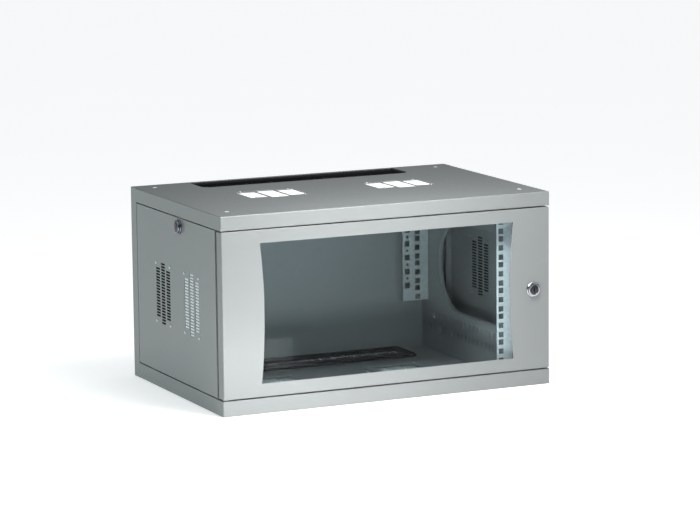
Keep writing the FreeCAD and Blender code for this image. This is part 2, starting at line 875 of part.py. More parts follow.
def make_vent_filters():
    """Filter mat, frame and screws behind the forward vent group of each side panel."""
    along = ("vent_forward - vent_mat_y", "vent_forward + vent_mat_y")
    up = ("height / 2 - vent_mat_z", "height / 2 + vent_mat_z")
    mat_span = ("panel_inner - mat_thickness", "panel_inner")
    frame_span = (f"{mat_span[0]} - filter_frame_thickness", mat_span[0])
    spots = vent_screw_places("vent_forward")
    reach = (f"{frame_span[0]} - 1", "side")
    bores = [rod("x", spot, "filter_screw_radius + running_gap", reach) for spot in spots]
    hole = box(
        reach,
        (f"{along[0]} + filter_frame_border * 1.5", f"{along[1]} - filter_frame_border * 1.5"),
        (f"{up[0]} + filter_frame_border * 1.5", f"{up[1]} - filter_frame_border * 1.5"),
    )
    mat = node(cut(box(mat_span, along, up), *bores), "side_filter_mat_right")
    frame = node(cut(box(frame_span, along, up), hole, *bores), "side_filter_frame_right")
    screws = group(
        *[
            stack(
                "x", spot,
                ("filter_screw_radius", ("side - filter_screw_length", "side")),
                ("filter_screw_head", ("side", "side + filter_screw_head_height")),
            )
            for middle in ("vent_forward", "vent_rearward")
            for spot in vent_screw_places(middle)
        ]
    )
    node(screws, "side_filter_screws_right")
    mirrored(mat, "side_filter_mat_left", "x")
    mirrored(frame, "side_filter_frame_left", "x")
    mirrored(screws, "side_filter_screws_left", "x")


# ---- Side panels ----


def vent_slot(middle, column, rows):
    """Lowest slot of one vent column."""
    centre = f"{middle} + ({column}) * vent_column_pitch"
    level = f"height / 2 - ({rows} - 1) / 2 * vent_row_pitch"
    return rectangle(
        f"{centre} - vent_slot_width / 2", f"{centre} + vent_slot_width / 2",
        f"{level} - vent_slot_height / 2", f"{level} + vent_slot_height / 2",
    )


def make_side_panels():
    """Removable side panels with two vent groups, folded edges and two hanging tabs."""
    panel = new_body("panel_sheet_body")
    skin = ("panel_inner", "side")
    folds = ("side - panel_fold", "panel_inner")
    front_fold = "panel_front + panel_fold_inset"
    rear_fold = "panel_rear - panel_fold_inset"
    extrude(
        panel, "Pad", "YZ_Plane", skin,
        rectangle("panel_front", "panel_rear", "panel_low", "panel_high"),
    )
    extrude(
        panel, "Pad", "YZ_Plane", folds,
        rectangle(front_fold, rear_fold, "panel_low", "panel_high"),
    )
    extrude(
        panel, "Pocket", "YZ_Plane", folds,
        rectangle(
            f"{front_fold} + panel_sheet", f"{rear_fold} - panel_sheet",
            "panel_low + panel_sheet", "panel_high - panel_sheet",
        ),
    )
    tab_outer = "side - cover_sheet - 2 * fit_gap"
    tabs = [
        rectangle(
            f"({sign}) * panel_tab_offset - panel_tab_width / 2",
            f"({sign}) * panel_tab_offset + panel_tab_width / 2",
            "panel_low - panel_tab_drop", "panel_low + panel_sheet",
        )
        for sign in (-1, 1)
    ]
    extrude(panel, "Pad", "YZ_Plane", (f"{tab_outer} - panel_sheet", tab_outer), *tabs)
    groups = ("vent_forward", "vent_rearward")
    short = [vent_slot(middle, column, "vent_short_rows") for middle in groups for column in (-1, 1)]
    first = extrude(panel, "Pocket", "YZ_Plane", skin, *short)
    repeat(panel, first, "V_Axis", "vent_row_pitch", "vent_short_rows")
    long = [vent_slot(middle, 0, "vent_long_rows") for middle in groups]
    second = extrude(panel, "Pocket", "YZ_Plane", skin, *long)
    repeat(panel, second, "V_Axis", "vent_row_pitch", "vent_long_rows")
    holes = [
        circle(along, up, "filter_screw_radius + running_gap")
        for middle in groups
        for along, up in vent_screw_places(middle)
    ]
    lock_hole = circle("side_lock_y", "side_lock_z", "lock_barrel_radius + fit_gap")
    extrude(panel, "Pocket", "YZ_Plane", skin, lock_hole, *holes)
    notch = "side_cam_reach + cam_half_width"
    extrude(
        panel, "Pocket", "YZ_Plane", folds,
        rectangle(
            f"side_lock_y - ({notch})", f"side_lock_y + {notch}",
            "panel_high - panel_sheet", "panel_high",
        ),
    )
    mirrored(node(panel, "side_panel_right"), "side_panel_left", "x")


# ---- Door ----


def make_door_frame():
    """Pressed door pan with a window whose sides bow inward."""
    pan = box(("-(door_side)", "door_side"), ("front", "door_rear"), ("door_low", "door_high"))
    hollow = box(
        ("-(door_side - door_sheet)", "door_side - door_sheet"),
        ("door_face", "door_rear"),
        ("door_low + door_sheet", "door_high - door_sheet"),
    )
    window = box(
        ("-window_half_width", "window_half_width"),
        ("front", "door_face"),
        ("window_low", "window_high"),
    )
    bow_x = "window_half_width - window_bulge + window_radius"
    bows = [
        rod("y", (f"({sign}) * ({bow_x})", "window_mid"), "window_radius", ("front", "door_face"))
        for sign in (-1, 1)
    ]
    lock_hole = rod(
        "y", ("lock_x", "lock_z"), "lock_barrel_radius + fit_gap / 2", ("front", "door_face")
    )
    bush_hole = rod(
        "z", ("hinge_x", "hinge_y"), "bush_radius", ("door_low", "door_low + door_sheet")
    )
    pin_hole = rod(
        "z", ("hinge_x", "hinge_y"), "hinge_pin_radius + fit_gap",
        ("door_high - door_sheet", "door_high"),
    )
    # The bows are taken out of the window tool, so they stay as sheet in the door.
    opening = cut(window, *bows)
    node(cut(pan, hollow, opening, lock_hole, bush_hole, pin_hole), "door_frame")


def make_glazing():
    """Glass, its gasket, and the clips and screws that clamp it to the door."""
    across = ("-(glass_side)", "glass_side")
    up = ("glass_low", "glass_high")
    node(box(across, ("glass_front", "glass_rear"), up), "door_glass")
    seal = ("door_face", "glass_front")
    inside = box(
        ("-(glass_side - gasket_width)", "glass_side - gasket_width"),
        seal,
        ("glass_low + gasket_width", "glass_high - gasket_width"),
    )
    node(cut(box(across, seal, up), inside), "glazing_gasket")
    clips = []
    screws = []
    for edge, sign in (("glass_low", -1), ("glass_high", 1)):
        for step in (-1, 0, 1):
            middle = f"({step}) * clip_spacing"
            span = (f"{middle} - clip_width / 2", f"{middle} + clip_width / 2")
            foot = f"{edge} + ({sign}) * (fit_gap + clip_foot)"
            near = f"{edge} + ({sign}) * fit_gap"
            lap = f"{edge} - ({sign}) * clip_lap"
            foot_span = (near, foot) if sign > 0 else (foot, near)
            plate_span = (lap, foot) if sign > 0 else (foot, lap)
            spot = (middle, f"{edge} + ({sign}) * (fit_gap + clip_foot / 2)")
            clips.append(clip(span, foot_span, span, plate_span, spot))
            screws.append(clip_screw(spot))
    for sign in (-1, 1):
        near = "glass_side + fit_gap"
        foot_span = (near, f"{near} + clip_foot")
        plate_span = ("glass_side - clip_lap", f"{near} + clip_foot")
        if sign < 0:
            foot_span = (f"-({foot_span[1]})", f"-({foot_span[0]})")
            plate_span = (f"-({plate_span[1]})", f"-({plate_span[0]})")
        upright = ("window_mid - clip_width * 1.5", "window_mid - clip_width / 2")
        spot = (f"({sign}) * ({near} + clip_foot / 2)", "window_mid - clip_width")
        clips.append(clip(foot_span, upright, plate_span, upright, spot))
        screws.append(clip_screw(spot))
    node(group(*clips), "glass_clips")
    node(group(*screws), "glass_clip_screws")


def clip(foot_x, foot_z, plate_x, plate_z, spot):
    """Stepped clamp: a foot on the door sheet and a plate over the glass edge."""
    foot = box(foot_x, ("door_face", "glass_rear"), foot_z)
    plate = box(plate_x, ("glass_rear", "clip_rear"), plate_z)
    bore = rod("y", spot, "clip_screw_radius + running_gap", ("door_face", "clip_rear"))
    return cut(fuse(foot, plate), bore)


def clip_screw(spot):
    """Pan-head screw through a clip."""
    return stack(
        "y", spot,
        ("clip_screw_radius", ("door_face", "clip_rear")),
        ("clip_screw_head", ("clip_rear", "clip_rear + clip_screw_head_height")),
    )


# ---- Hinge ----


def make_lower_hinge():
    """Fixed lower pin with its nut, and the bush that turns on it."""
    axis = ("hinge_x", "hinge_y")
    collar_top = "door_low - 2 * fit_gap"
    pin = stack(
        "z", axis,
        ("hinge_pin_radius", ("bottom_lip - hinge_pin_tail", "door_low + hinge_pin_rise")),
        ("hinge_collar_radius", ("bottom_lip", collar_top)),
    )
    node(pin, "lower_hinge_pin")
    nut_top = "bottom_lip - cover_sheet"
    nut_span = (f"{nut_top} - hinge_nut_height", nut_top)
    nut = cut(
        hexagon("z", axis, "hinge_collar_radius", nut_span),
        rod("z", axis, "hinge_pin_radius", nut_span),
    )
    node(nut, "lower_hinge_nut")
    bush_low = "door_low - fit_gap"
    bush = cut(
        stack(
            "z", axis,
            ("bush_radius", (bush_low, f"{bush_low} + bush_length")),
            (
                "bush_flange_radius",
                ("door_low + door_sheet", "door_low + door_sheet + bush_flange_height"),
            ),
        ),
        rod("z", axis, "bore_radius", (bush_low, f"{bush_low} + bush_length")),
    )
    node(bush, "lower_hinge_bush")


def make_upper_hinge():
    """Bush in the top cover, and the sprung pin that drops to free the door."""
    axis = ("hinge_x", "hinge_y")
    flange_low = "height - top_lip + cover_sheet"
    flange_high = f"{flange_low} + bush_flange_height"
    bush_span = ("height - top_lip", flange_high)
    bush = cut(
        stack(
            "z", axis, ("bush_radius", bush_span), ("bush_flange_radius", (flange_low, flange_high))
        ),
        rod("z", axis, "bore_radius", bush_span),
    )
    node(bush, "upper_hinge_bush")
    side_x = "hinge_x - hinge_inset + door_sheet"
    across = (side_x, f"{side_x} + latch_bracket_width")
    ear_y = ("door_face", "door_face + latch_bracket_ear")
    back = box(across, ("door_face", "door_face + latch_bracket_sheet"), ("bracket_low", "bracket_high"))
    upper_ear = box(across, ear_y, ("bracket_high - latch_bracket_sheet", "bracket_high"))
    lower_ear = box(across, ear_y, ("bracket_low", "bracket_low + latch_bracket_sheet"))
    bore = rod("z", axis, "bore_radius", ("bracket_low", "bracket_high"))
    node(cut(fuse(back, upper_ear, lower_ear), bore), "hinge_pin_bracket")
    pin = stack(
        "z", axis,
        ("hinge_pin_radius", ("latch_knob_high - latch_knob_height / 2", f"{flange_high} + latch_reach")),
        ("hinge_pin_radius + latch_collar_lap", ("latch_seat - latch_bracket_sheet", "latch_seat")),
    )
    node(pin, "upper_hinge_pin")
    knob_low = "latch_knob_high - latch_knob_height"
    knob = cut(
        rod("z", axis, "hinge_pin_radius + latch_knob_lap", (knob_low, "latch_knob_high")),
        rod("z", axis, "hinge_pin_radius", ("latch_knob_high - latch_knob_height / 2", "latch_knob_high")),
    )
    node(knob, "hinge_pin_knob")


def make_latch_spring():
    """Helical spring between the bracket's lower ear and the pin's collar."""
    low = "bracket_low + latch_bracket_sheet + spring_wire_radius"
    high = "latch_seat - latch_bracket_sheet - spring_wire_radius"
    path = DOC.addObject("Part::Helix", "spring_path")
    path.setExpression("Radius", spelled("spring_mean_radius"))
    path.setExpression("Height", spelled(f"({high}) - ({low})"))
    path.setExpression("Pitch", spelled(f"(({high}) - ({low})) / spring_turns"))
    place(path, "z", ("hinge_x", "hinge_y"), low)
    wire = DOC.addObject("Part::Circle", "spring_section")
    wire.setExpression("Radius", spelled("spring_wire_radius"))
    wire.Placement = FreeCAD.Placement(
        FreeCAD.Vector(), FreeCAD.Rotation(FreeCAD.Vector(1, 0, 0), 90)
    )
    wire.setExpression("Placement.Base.x", spelled("hinge_x + spring_mean_radius"))
    wire.setExpression("Placement.Base.y", spelled("hinge_y"))
    wire.setExpression("Placement.Base.z", spelled(low))
    coil = DOC.addObject("Part::Sweep", "coil")
    coil.Sections = [wire]
    coil.Spine = (path, [])
    coil.Solid = True
    coil.Frenet = True
    node(coil, "hinge_pin_spring")


# ---- Locks ----


def make_door_lock():
    """Barrel lock of the door: body, nut, and a plug that turns a cam."""
    axis = ("lock_x", "lock_z")
    barrel_end = "front + door_barrel_length"
    nut_span = ("door_face", "door_face + lock_nut_height")
    body = cut(
        stack(
            "y", axis,
            ("lock_ring_radius", ("front - lock_ring_height", "front - lock_flange_height")),
            ("lock_flange_radius", ("front - lock_flange_height", "front")),
            ("lock_barrel_radius", ("front", barrel_end)),
        ),
        rod("y", axis, "lock_plug_radius + running_gap", ("front - lock_ring_height", barrel_end)),
    )
    node(body, "door_lock_body")
    nut = cut(
        hexagon("y", axis, "lock_nut_radius", nut_span),
        rod("y", axis, "lock_barrel_radius", nut_span),
    )
    node(nut, "door_lock_nut")
    face = "front - lock_plug_proud"
    slot = box(
        ("lock_x - key_slot_width / 2", "lock_x + key_slot_width / 2"),
        (face, f"{face} + key_slot_depth"),
        ("lock_z - key_slot_length / 2", "lock_z + key_slot_length / 2"),
    )
    thread = rod("y", axis, "cam_screw_radius", ("cam_front - cam_screw_depth", "cam_front"))
    plug = cut(rod("y", axis, "lock_plug_radius", (face, "cam_front")), slot, thread)
    node(plug, "door_lock_plug")
    arm = box(
        ("lock_x - cam_half_width", "lock_x + cam_half_width"),
        ("cam_front", "cam_rear"),
        ("lock_z - door_cam_reach", "lock_z"),
    )
    heel = rod("y", axis, "lock_plug_radius", ("cam_front", "cam_rear"))
    bore = rod("y", axis, "cam_screw_radius", ("cam_front", "cam_rear"))
    node(cut(fuse(arm, heel), bore), "door_lock_cam")
    screw = stack(
        "y", axis,
        ("cam_screw_radius", ("cam_front - cam_screw_depth", "cam_rear")),
        ("cam_screw_head", ("cam_rear", "cam_rear + cam_screw_head_height")),
    )
    node(screw, "door_lock_cam_screw")


def make_side_locks():
    """Barrel locks of the side panels, each with a stepped cam that hooks behind the top lip."""
    axis = ("side_lock_y", "side_lock_z")
    barrel_end = "side - side_barrel_length"
    nut_span = ("panel_inner - lock_nut_height", "panel_inner")
    body = cut(
        stack(
            "x", axis,
            ("lock_barrel_radius", (barrel_end, "side")),
            ("lock_flange_radius", ("side", "side + lock_flange_height")),
            ("lock_ring_radius", ("side + lock_flange_height", "side + lock_ring_height")),
        ),
        rod("x", axis, "lock_plug_radius + running_gap", (barrel_end, "side + lock_ring_height")),
    )
    nut = cut(
        hexagon("x", axis, "lock_nut_radius", nut_span),
        rod("x", axis, "lock_barrel_radius", nut_span),
    )
    face = "side + lock_plug_proud"
    slot = box(
        (f"{face} - key_slot_depth", face),
        ("side_lock_y - key_slot_width / 2", "side_lock_y + key_slot_width / 2"),
        ("side_lock_z - key_slot_length / 2", "side_lock_z + key_slot_length / 2"),
    )
    thread = rod(
        "x", axis, "cam_screw_radius", ("side_cam_outer", "side_cam_outer + cam_screw_depth")
    )
    plug = cut(rod("x", axis, "lock_plug_radius", ("side_cam_outer", face)), slot, thread)
    width = ("side_lock_z - cam_half_width", "side_lock_z + cam_half_width")
    plate = ("side_cam_inner", "side_cam_outer")
    step_y = "side_lock_y - lock_nut_radius - side_cam_clearance"
    riser_y = f"{step_y} - cam_sheet"
    arm = box(plate, (riser_y, "side_lock_y"), width)
    riser = box(("side_cam_inner", "side_tip_outer"), (riser_y, step_y), width)
    tip = box(
        ("side_tip_outer - cam_sheet", "side_tip_outer"),
        ("side_lock_y - side_cam_reach", step_y),
        width,
    )
    heel = rod("x", axis, "lock_plug_radius", plate)
    cam = cut(fuse(arm, riser, tip, heel), rod("x", axis, "cam_screw_radius", plate))
    screw = stack(
        "x", axis,
        ("cam_screw_head", ("side_cam_inner - cam_screw_head_height", "side_cam_inner")),
        ("cam_screw_radius", ("side_cam_inner", "side_cam_outer + cam_screw_depth")),
    )
    pieces = {"body": body, "nut": nut, "plug": plug, "cam": cam, "cam_screw": screw}
    for word, piece in pieces.items():
        mirrored(node(piece, f"right_lock_{word}"), f"left_lock_{word}", "x")


def check_document():
    """Stop if any object failed or any node has no valid solid."""
    for item in DOC.Objects:
        if "Invalid" in item.State or "Error" in item.State:
            raise RuntimeError(f"{item.Name} ({item.Label}) is {item.State}")
    for piece in NODES:
        if piece.Shape.isNull() or not piece.Shape.isValid() or not piece.Shape.Solids:
            raise RuntimeError(f"{piece.Label} has no valid solid")


def export_nodes():
    """Write each node to its own file."""
    os.makedirs("parts", exist_ok=True)
    for piece in NODES:
        piece.Shape.exportStep(f"parts/{piece.Label}.step")


write_sheet()
make_covers()
make_rear_panel()
make_side_frames()
make_front_rails()
make_rear_rails()
make_rail_screws()
make_cover_screws()
make_brush_entries()
make_grille_filters()
make_vent_filters()
make_side_panels()
make_door_frame()
make_glazing()
make_lower_hinge()
make_upper_hinge()
make_latch_spring()
make_door_lock()
make_side_locks()
DOC.recompute()
check_document()
export_nodes()
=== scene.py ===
"""Looks of a wall-mounted network cabinet: finishes, pressed sheet, hardware, glass and studio.

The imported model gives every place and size. Pressed sheet parts are taken over from it and get
their folds and cut edges rounded; turned parts, screws, brushes, mats and glass are built anew.
"""

from __future__ import annotations

import json
import logging
import math
import random
from dataclasses import dataclass, field
from enum import Enum

import bmesh
import bpy
from mathutils import Matrix, Vector, noise
from mathutils.bvhtree import BVHTree

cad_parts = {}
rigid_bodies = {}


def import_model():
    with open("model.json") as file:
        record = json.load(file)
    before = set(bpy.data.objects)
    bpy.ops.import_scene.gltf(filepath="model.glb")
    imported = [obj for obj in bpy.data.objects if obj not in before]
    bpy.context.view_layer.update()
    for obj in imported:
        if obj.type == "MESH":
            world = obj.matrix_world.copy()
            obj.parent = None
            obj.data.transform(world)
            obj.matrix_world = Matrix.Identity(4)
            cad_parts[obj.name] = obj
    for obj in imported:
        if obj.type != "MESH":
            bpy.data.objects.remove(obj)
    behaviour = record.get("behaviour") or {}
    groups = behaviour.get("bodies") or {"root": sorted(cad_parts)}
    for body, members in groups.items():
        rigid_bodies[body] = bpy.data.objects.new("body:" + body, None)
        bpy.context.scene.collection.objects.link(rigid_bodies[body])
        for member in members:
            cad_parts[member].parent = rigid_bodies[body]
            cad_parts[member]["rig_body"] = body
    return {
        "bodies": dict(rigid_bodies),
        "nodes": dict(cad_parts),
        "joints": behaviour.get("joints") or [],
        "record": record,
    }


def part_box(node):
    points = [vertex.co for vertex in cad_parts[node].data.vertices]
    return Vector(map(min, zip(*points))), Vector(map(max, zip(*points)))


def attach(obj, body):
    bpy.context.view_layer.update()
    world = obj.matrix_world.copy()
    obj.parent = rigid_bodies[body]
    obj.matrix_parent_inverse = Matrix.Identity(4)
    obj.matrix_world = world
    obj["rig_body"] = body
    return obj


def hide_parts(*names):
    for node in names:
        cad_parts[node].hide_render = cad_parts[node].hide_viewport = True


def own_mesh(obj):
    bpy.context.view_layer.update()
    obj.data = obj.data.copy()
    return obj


LOG = logging.getLogger("network_cabinet")
MM = 0.001
RING = 24
WELD_DISTANCE = 0.004 * MM
SHARP_ANGLE = math.radians(34)
MIX_SHARE = 0
MIX_FIRST = 6
MIX_SECOND = 7
MIX_RESULT = 2

Point = tuple[float, float]
Outline = list[Point]
Ring = tuple[Outline, float]
Box = tuple[Vector, Vector]
Colour = tuple[float, float, float]


class Side(Enum):
    """The two sides of the cabinet, with the sign of X on each."""

    LEFT = -1
    RIGHT = 1

    @property
    def word(self) -> str:
        """The side's name as the frame spells it."""
        return self.name.lower()


class Direction(Enum):
    """Directions that heads, faces and mats look towards."""

    LEFT = (-1.0, 0.0, 0.0)
    RIGHT = (1.0, 0.0, 0.0)
    FRONT = (0.0, -1.0, 0.0)
    REAR = (0.0, 1.0, 0.0)
    DOWN = (0.0, 0.0, -1.0)
    UP = (0.0, 0.0, 1.0)

    @property
    def vector(self) -> Vector:
        """The direction as a vector."""
        return Vector(self.value)


# ---- Finishes ----


def tinted(colour: Colour, factor: float) -> Colour:
    """A colour made lighter or darker by a factor."""
    return tuple(min(1.0, channel * factor) for channel in colour)


class Recipe:
    """A material's node tree, with short calls for the nodes that the finishes share."""

    def __init__(self, name: str) -> None:
        """Start a material with one Principled shader and Object coordinates.

        Args:
            name: The material's name.
        """
        self.material = bpy.data.materials.new(name)
        self.material.use_nodes = True
        self.tree = self.material.node_tree
        self.shader = self.tree.nodes["Principled BSDF"]
        self.place = self.tree.nodes.new("ShaderNodeTexCoord").outputs["Object"]

    def set(self, **values: float | tuple[float, ...]) -> None:
        """Set constant values on the shader; underscores stand for spaces."""
        for key, value in values.items():
            self.shader.inputs[key.replace("_", " ")].default_value = value

    def stretched(self, scale: tuple[float, float, float]) -> bpy.types.NodeSocket:
        """Object coordinates stretched along the axes.

        Args:
            scale: Factor along X, Y and Z.

        Returns:
            The stretched coordinates.
        """
        node = self.tree.nodes.new("ShaderNodeMapping")
        node.inputs["Scale"].default_value = scale
        self.tree.links.new(self.place, node.inputs["Vector"])
        return node.outputs["Vector"]

    def grain(
        self,
        scale: float,
        detail: float = 2.0,
        distortion: float = 0.0,
        place: bpy.types.NodeSocket | None = None,
    ) -> bpy.types.NodeSocket:
        """Noise over the surface.

        Args:
            scale: Waves per metre.
            detail: Octaves of finer noise.
            distortion: How much the noise is bent.
            place: Coordinates, or None for plain Object coordinates.

        Returns:
            The noise value.
        """
        node = self.tree.nodes.new("ShaderNodeTexNoise")
        node.inputs["Scale"].default_value = scale
        node.inputs["Detail"].default_value = detail
        node.inputs["Distortion"].default_value = distortion
        self.tree.links.new(place or self.place, node.inputs["Vector"])
        return node.outputs["Fac"]

    def cells(self, scale: float) -> bpy.types.NodeSocket:
        """Random grey per crystal cell.

        Args:
            scale: Cells per metre.

        Returns:
            The cells' grey.
        """
        node = self.tree.nodes.new("ShaderNodeTexVoronoi")
        node.inputs["Scale"].default_value = scale
        self.tree.links.new(self.place, node.inputs["Vector"])
        split = self.tree.nodes.new("ShaderNodeSeparateColor")
        self.tree.links.new(node.outputs["Color"], split.inputs["Color"])
        return split.outputs["Red"]

    def between(
        self, value: bpy.types.NodeSocket, low: float, high: float, start: float = 0.3, end: float = 0.7
    ) -> bpy.types.NodeSocket:
        """Map a value's middle span to a new span.

        Args:
            value: What is mapped.
            low: Result at start.
            high: Result at end.
            start: Lower end of the span that is read.
            end: Upper end of the span that is read.

        Returns:
            The mapped value.
        """
        node = self.tree.nodes.new("ShaderNodeMapRange")
        node.inputs["From Min"].default_value = start
        node.inputs["From Max"].default_value = end
        node.inputs["To Min"].default_value = low
        node.inputs["To Max"].default_value = high
        self.tree.links.new(value, node.inputs["Value"])
        return node.outputs["Result"]

    def mixer(self, value: bpy.types.NodeSocket, second: Colour) -> bpy.types.ShaderNodeMix:
        """A colour mixer whose second colour and share are set.

        Args:
            value: Share of the second colour.
            second: The second colour.

        Returns:
            The node, with its first colour still open.
        """
        node = self.tree.nodes.new("ShaderNodeMix")
        node.data_type = "RGBA"
        node.inputs[MIX_SECOND].default_value = (*second, 1.0)
        self.tree.links.new(value, node.inputs[MIX_SHARE])
        return node

    def shades(self, value: bpy.types.NodeSocket, dark: Colour, light: Colour) -> bpy.types.NodeSocket:
        """Blend two colours by a value.

        Args:
            value: 0 for dark, 1 for light.
            dark: The first colour.
            light: The second colour.

        Returns:
            The blended colour.
        """
        node = self.mixer(value, light)
        node.inputs[MIX_FIRST].default_value = (*dark, 1.0)
        return node.outputs[MIX_RESULT]

    def flecked(
        self, base: bpy.types.NodeSocket, value: bpy.types.NodeSocket, tint: Colour
    ) -> bpy.types.NodeSocket:
        """Multiply a colour by a tint where a value is high.

        Args:
            base: The colour.
            value: 0 for the plain colour, 1 for the full tint.
            tint: What the colour is multiplied by.

        Returns:
            The flecked colour.
        """
        node = self.mixer(value, tint)
        node.blend_type = "MULTIPLY"
        self.tree.links.new(base, node.inputs[MIX_FIRST])
        return node.outputs[MIX_RESULT]

    def relief(self, *layers: tuple[bpy.types.NodeSocket, float, float]) -> None:
        """Bump the surface with one or more layers.

        Args:
            layers: Height, strength and depth in metres of each layer.
        """
        normal = None
        for height, strength, depth in layers:
            node = self.tree.nodes.new("ShaderNodeBump")
            node.inputs["Strength"].default_value = strength
            node.inputs["Distance"].default_value = depth
            self.tree.links.new(height, node.inputs["Height"])
            if normal is not None:
                self.tree.links.new(normal, node.inputs["Normal"])
            normal = node.outputs["Normal"]
        self.tree.links.new(normal, self.shader.inputs["Normal"])

    def drive(self, key: str, value: bpy.types.NodeSocket) -> None:
        """Link a value to one of the shader's inputs."""
        self.tree.links.new(value, self.shader.inputs[key])

    def tones(self, value: bpy.types.NodeSocket, colour: Colour, low: float, high: float = 1.0) -> None:
        """Colour the shader between two strengths of one colour.

        Args:
            value: Noise that picks the strength.
            colour: The colour.
            low: Factor where the noise is low.
            high: Factor where the noise is high.
        """
        share = self.between(value, 0.0, 1.0)
        self.drive("Base Color", self.shades(share, tinted(colour, low), tinted(colour, high)))


@dataclass(frozen=True)
class Finish:
    """A surface finish that can be made into a material."""

    name: str
    slot: str
    colour: Colour

    def made(self) -> bpy.types.Material:
        """The finish's material, built on first use."""
        return bpy.data.materials.get(self.name) or self.build().material

    def build(self) -> Recipe:
        """Lay out the finish's nodes."""
        raise NotImplementedError


@dataclass(frozen=True)
class PowderCoat(Finish):
    """Fine textured powder coat with faint orange peel."""

    smooth: float = 0.28
    rough: float = 0.38

    def build(self) -> Recipe:
        """Soft tone changes, a fine speckle and two depths of peel."""
        recipe = Recipe(self.name)
        cloud = recipe.grain(5.0, 3.0)
        speckle = recipe.grain(2600.0, 1.0)
        tone = recipe.shades(recipe.between(cloud, 0.0, 1.0), tinted(self.colour, 0.965), self.colour)
        spread = recipe.between(speckle, 0.0, 0.5, 0.35, 0.7)
        recipe.drive("Base Color", recipe.flecked(tone, spread, (0.93, 0.935, 0.94)))
        recipe.drive("Roughness", recipe.between(recipe.grain(420.0), self.smooth, self.rough))
        recipe.relief(
            (recipe.grain(160.0, 1.0), 0.04, 0.12 * MM),
            (recipe.grain(1700.0, 2.0), 0.12, 0.04 * MM),
        )
        recipe.set(Specular_IOR_Level=0.35, Coat_Weight=0.15, Coat_Roughness=0.22)
        return recipe


@dataclass(frozen=True)
class GalvanisedSheet(Finish):
    """Zinc-coated sheet with spangle and rolling lines."""

    metal: float = 0.4

    def build(self) -> Recipe:
        """Crystal cells in the tone, streaks in the roughness."""
        recipe = Recipe(self.name)
        spangle = recipe.between(recipe.cells(240.0), 0.0, 1.0, 0.0, 1.0)
        recipe.drive("Base Color", recipe.shades(spangle, tinted(self.colour, 0.86), self.colour))
        streaks = recipe.grain(90.0, 2.0, 0.0, recipe.stretched((14.0, 14.0, 1.0)))
        recipe.drive("Roughness", recipe.between(streaks, 0.34, 0.5))
        recipe.relief((recipe.grain(700.0), 0.08, 0.05 * MM))
        recipe.set(Metallic=self.metal)
        return recipe


@dataclass(frozen=True)
class PlatedSteel(Finish):
    """Plated turned or stamped steel with fine tool marks."""

    smooth: float = 0.2
    rough: float = 0.34

    def build(self) -> Recipe:
        """Fine lines in the roughness and a cloudy tone."""
        recipe = Recipe(self.name)
        marks = recipe.grain(900.0, 3.0, 0.4, recipe.stretched((1.0, 1.0, 5.0)))
        recipe.drive("Roughness", recipe.between(marks, self.smooth, self.rough))
        cloud = recipe.grain(140.0, 2.0)
        recipe.tones(cloud, self.colour, 0.88)
        recipe.relief((marks, 0.06, 0.03 * MM))
        recipe.set(Metallic=1.0)
        return recipe


@dataclass(frozen=True)
class MouldedPlastic(Finish):
    """Moulded plastic or rubber with a fine spark-eroded grain."""

    smooth: float = 0.42
    rough: float = 0.58
    grain_depth: float = 0.06 * MM
    gloss: float = 0.5

    def build(self) -> Recipe:
        """Grain in the relief, scuffs in tone and roughness."""
        recipe = Recipe(self.name)
        scuffs = recipe.grain(60.0, 4.0, 0.5)
        recipe.tones(scuffs, self.colour, 1.0, 1.35)
        recipe.drive("Roughness", recipe.between(scuffs, self.smooth, self.rough))
        recipe.relief((recipe.grain(1500.0, 2.0), 0.25, self.grain_depth))
        recipe.set(Specular_IOR_Level=self.gloss)
        return recipe


@dataclass(frozen=True)
class FilterFleece(Finish):
    """Bonded polyester fleece that glows faintly: painted light that makes the mats whiter than their
    lighting would.
    """

    glow: float = 0.25

    def build(self) -> Recipe:
        """Fibres lying in two directions over a soft, uneven pad."""
        recipe = Recipe(self.name)
        first = recipe.grain(900.0, 4.0, 1.2, recipe.stretched((0.25, 1.0, 1.0)))
        second = recipe.grain(800.0, 4.0, 1.2, recipe.stretched((1.0, 0.22, 0.6)))
        pad = recipe.grain(150.0, 3.0)
        recipe.tones(first, self.colour, 0.93)
        recipe.relief(
            (pad, 0.3, 0.5 * MM),
            (first, 0.35, 0.2 * MM),
            (second, 0.35, 0.2 * MM),
        )
        # The emission set here is painted light: it makes the fleece, which is no lamp, glow brighter white.
        recipe.set(
            Roughness=0.95,
            Sheen_Weight=0.3,
            Sheen_Roughness=0.6,
            Specular_IOR_Level=0.2,
            Emission_Color=(0.9, 0.97, 1.0, 1.0),
            Emission_Strength=self.glow,
        )
        return recipe


@dataclass(frozen=True)
class BristleFibre(Finish):
    """Black nylon bristles, slightly glossy along each fibre."""

    def build(self) -> Recipe:
        """Tone changes from bristle to bristle."""
        recipe = Recipe(self.name)
        strands = recipe.grain(1000.0, 1.0, 0.0, recipe.stretched((1.0, 0.05, 0.6)))
        recipe.tones(strands, self.colour, 1.0, 2.2)
        recipe.drive("Roughness", recipe.between(strands, 0.6, 0.8))
        recipe.set(Specular_IOR_Level=0.12)
        return recipe


@dataclass(frozen=True)
class ClearGlass(Finish):
    """Clear toughened glass with a cool tint, darkened as painted shade over the inside seen through it."""

    bend: float = 1.15

    def build(self) -> Recipe:
        """Full transmission with a trace of dust in the gloss."""
        recipe = Recipe(self.name)
        # The base colour is partly the glass's cool tint and partly painted shade: its darkness stands in
        # for the shade inside, since the pane lets lamps through.
        recipe.set(
            Base_Color=(*self.colour, 1.0),
            Transmission_Weight=1.0,
            IOR=self.bend,
        )
        recipe.drive("Roughness", recipe.between(recipe.grain(30.0, 3.0), 0.0, 0.012))
        return recipe


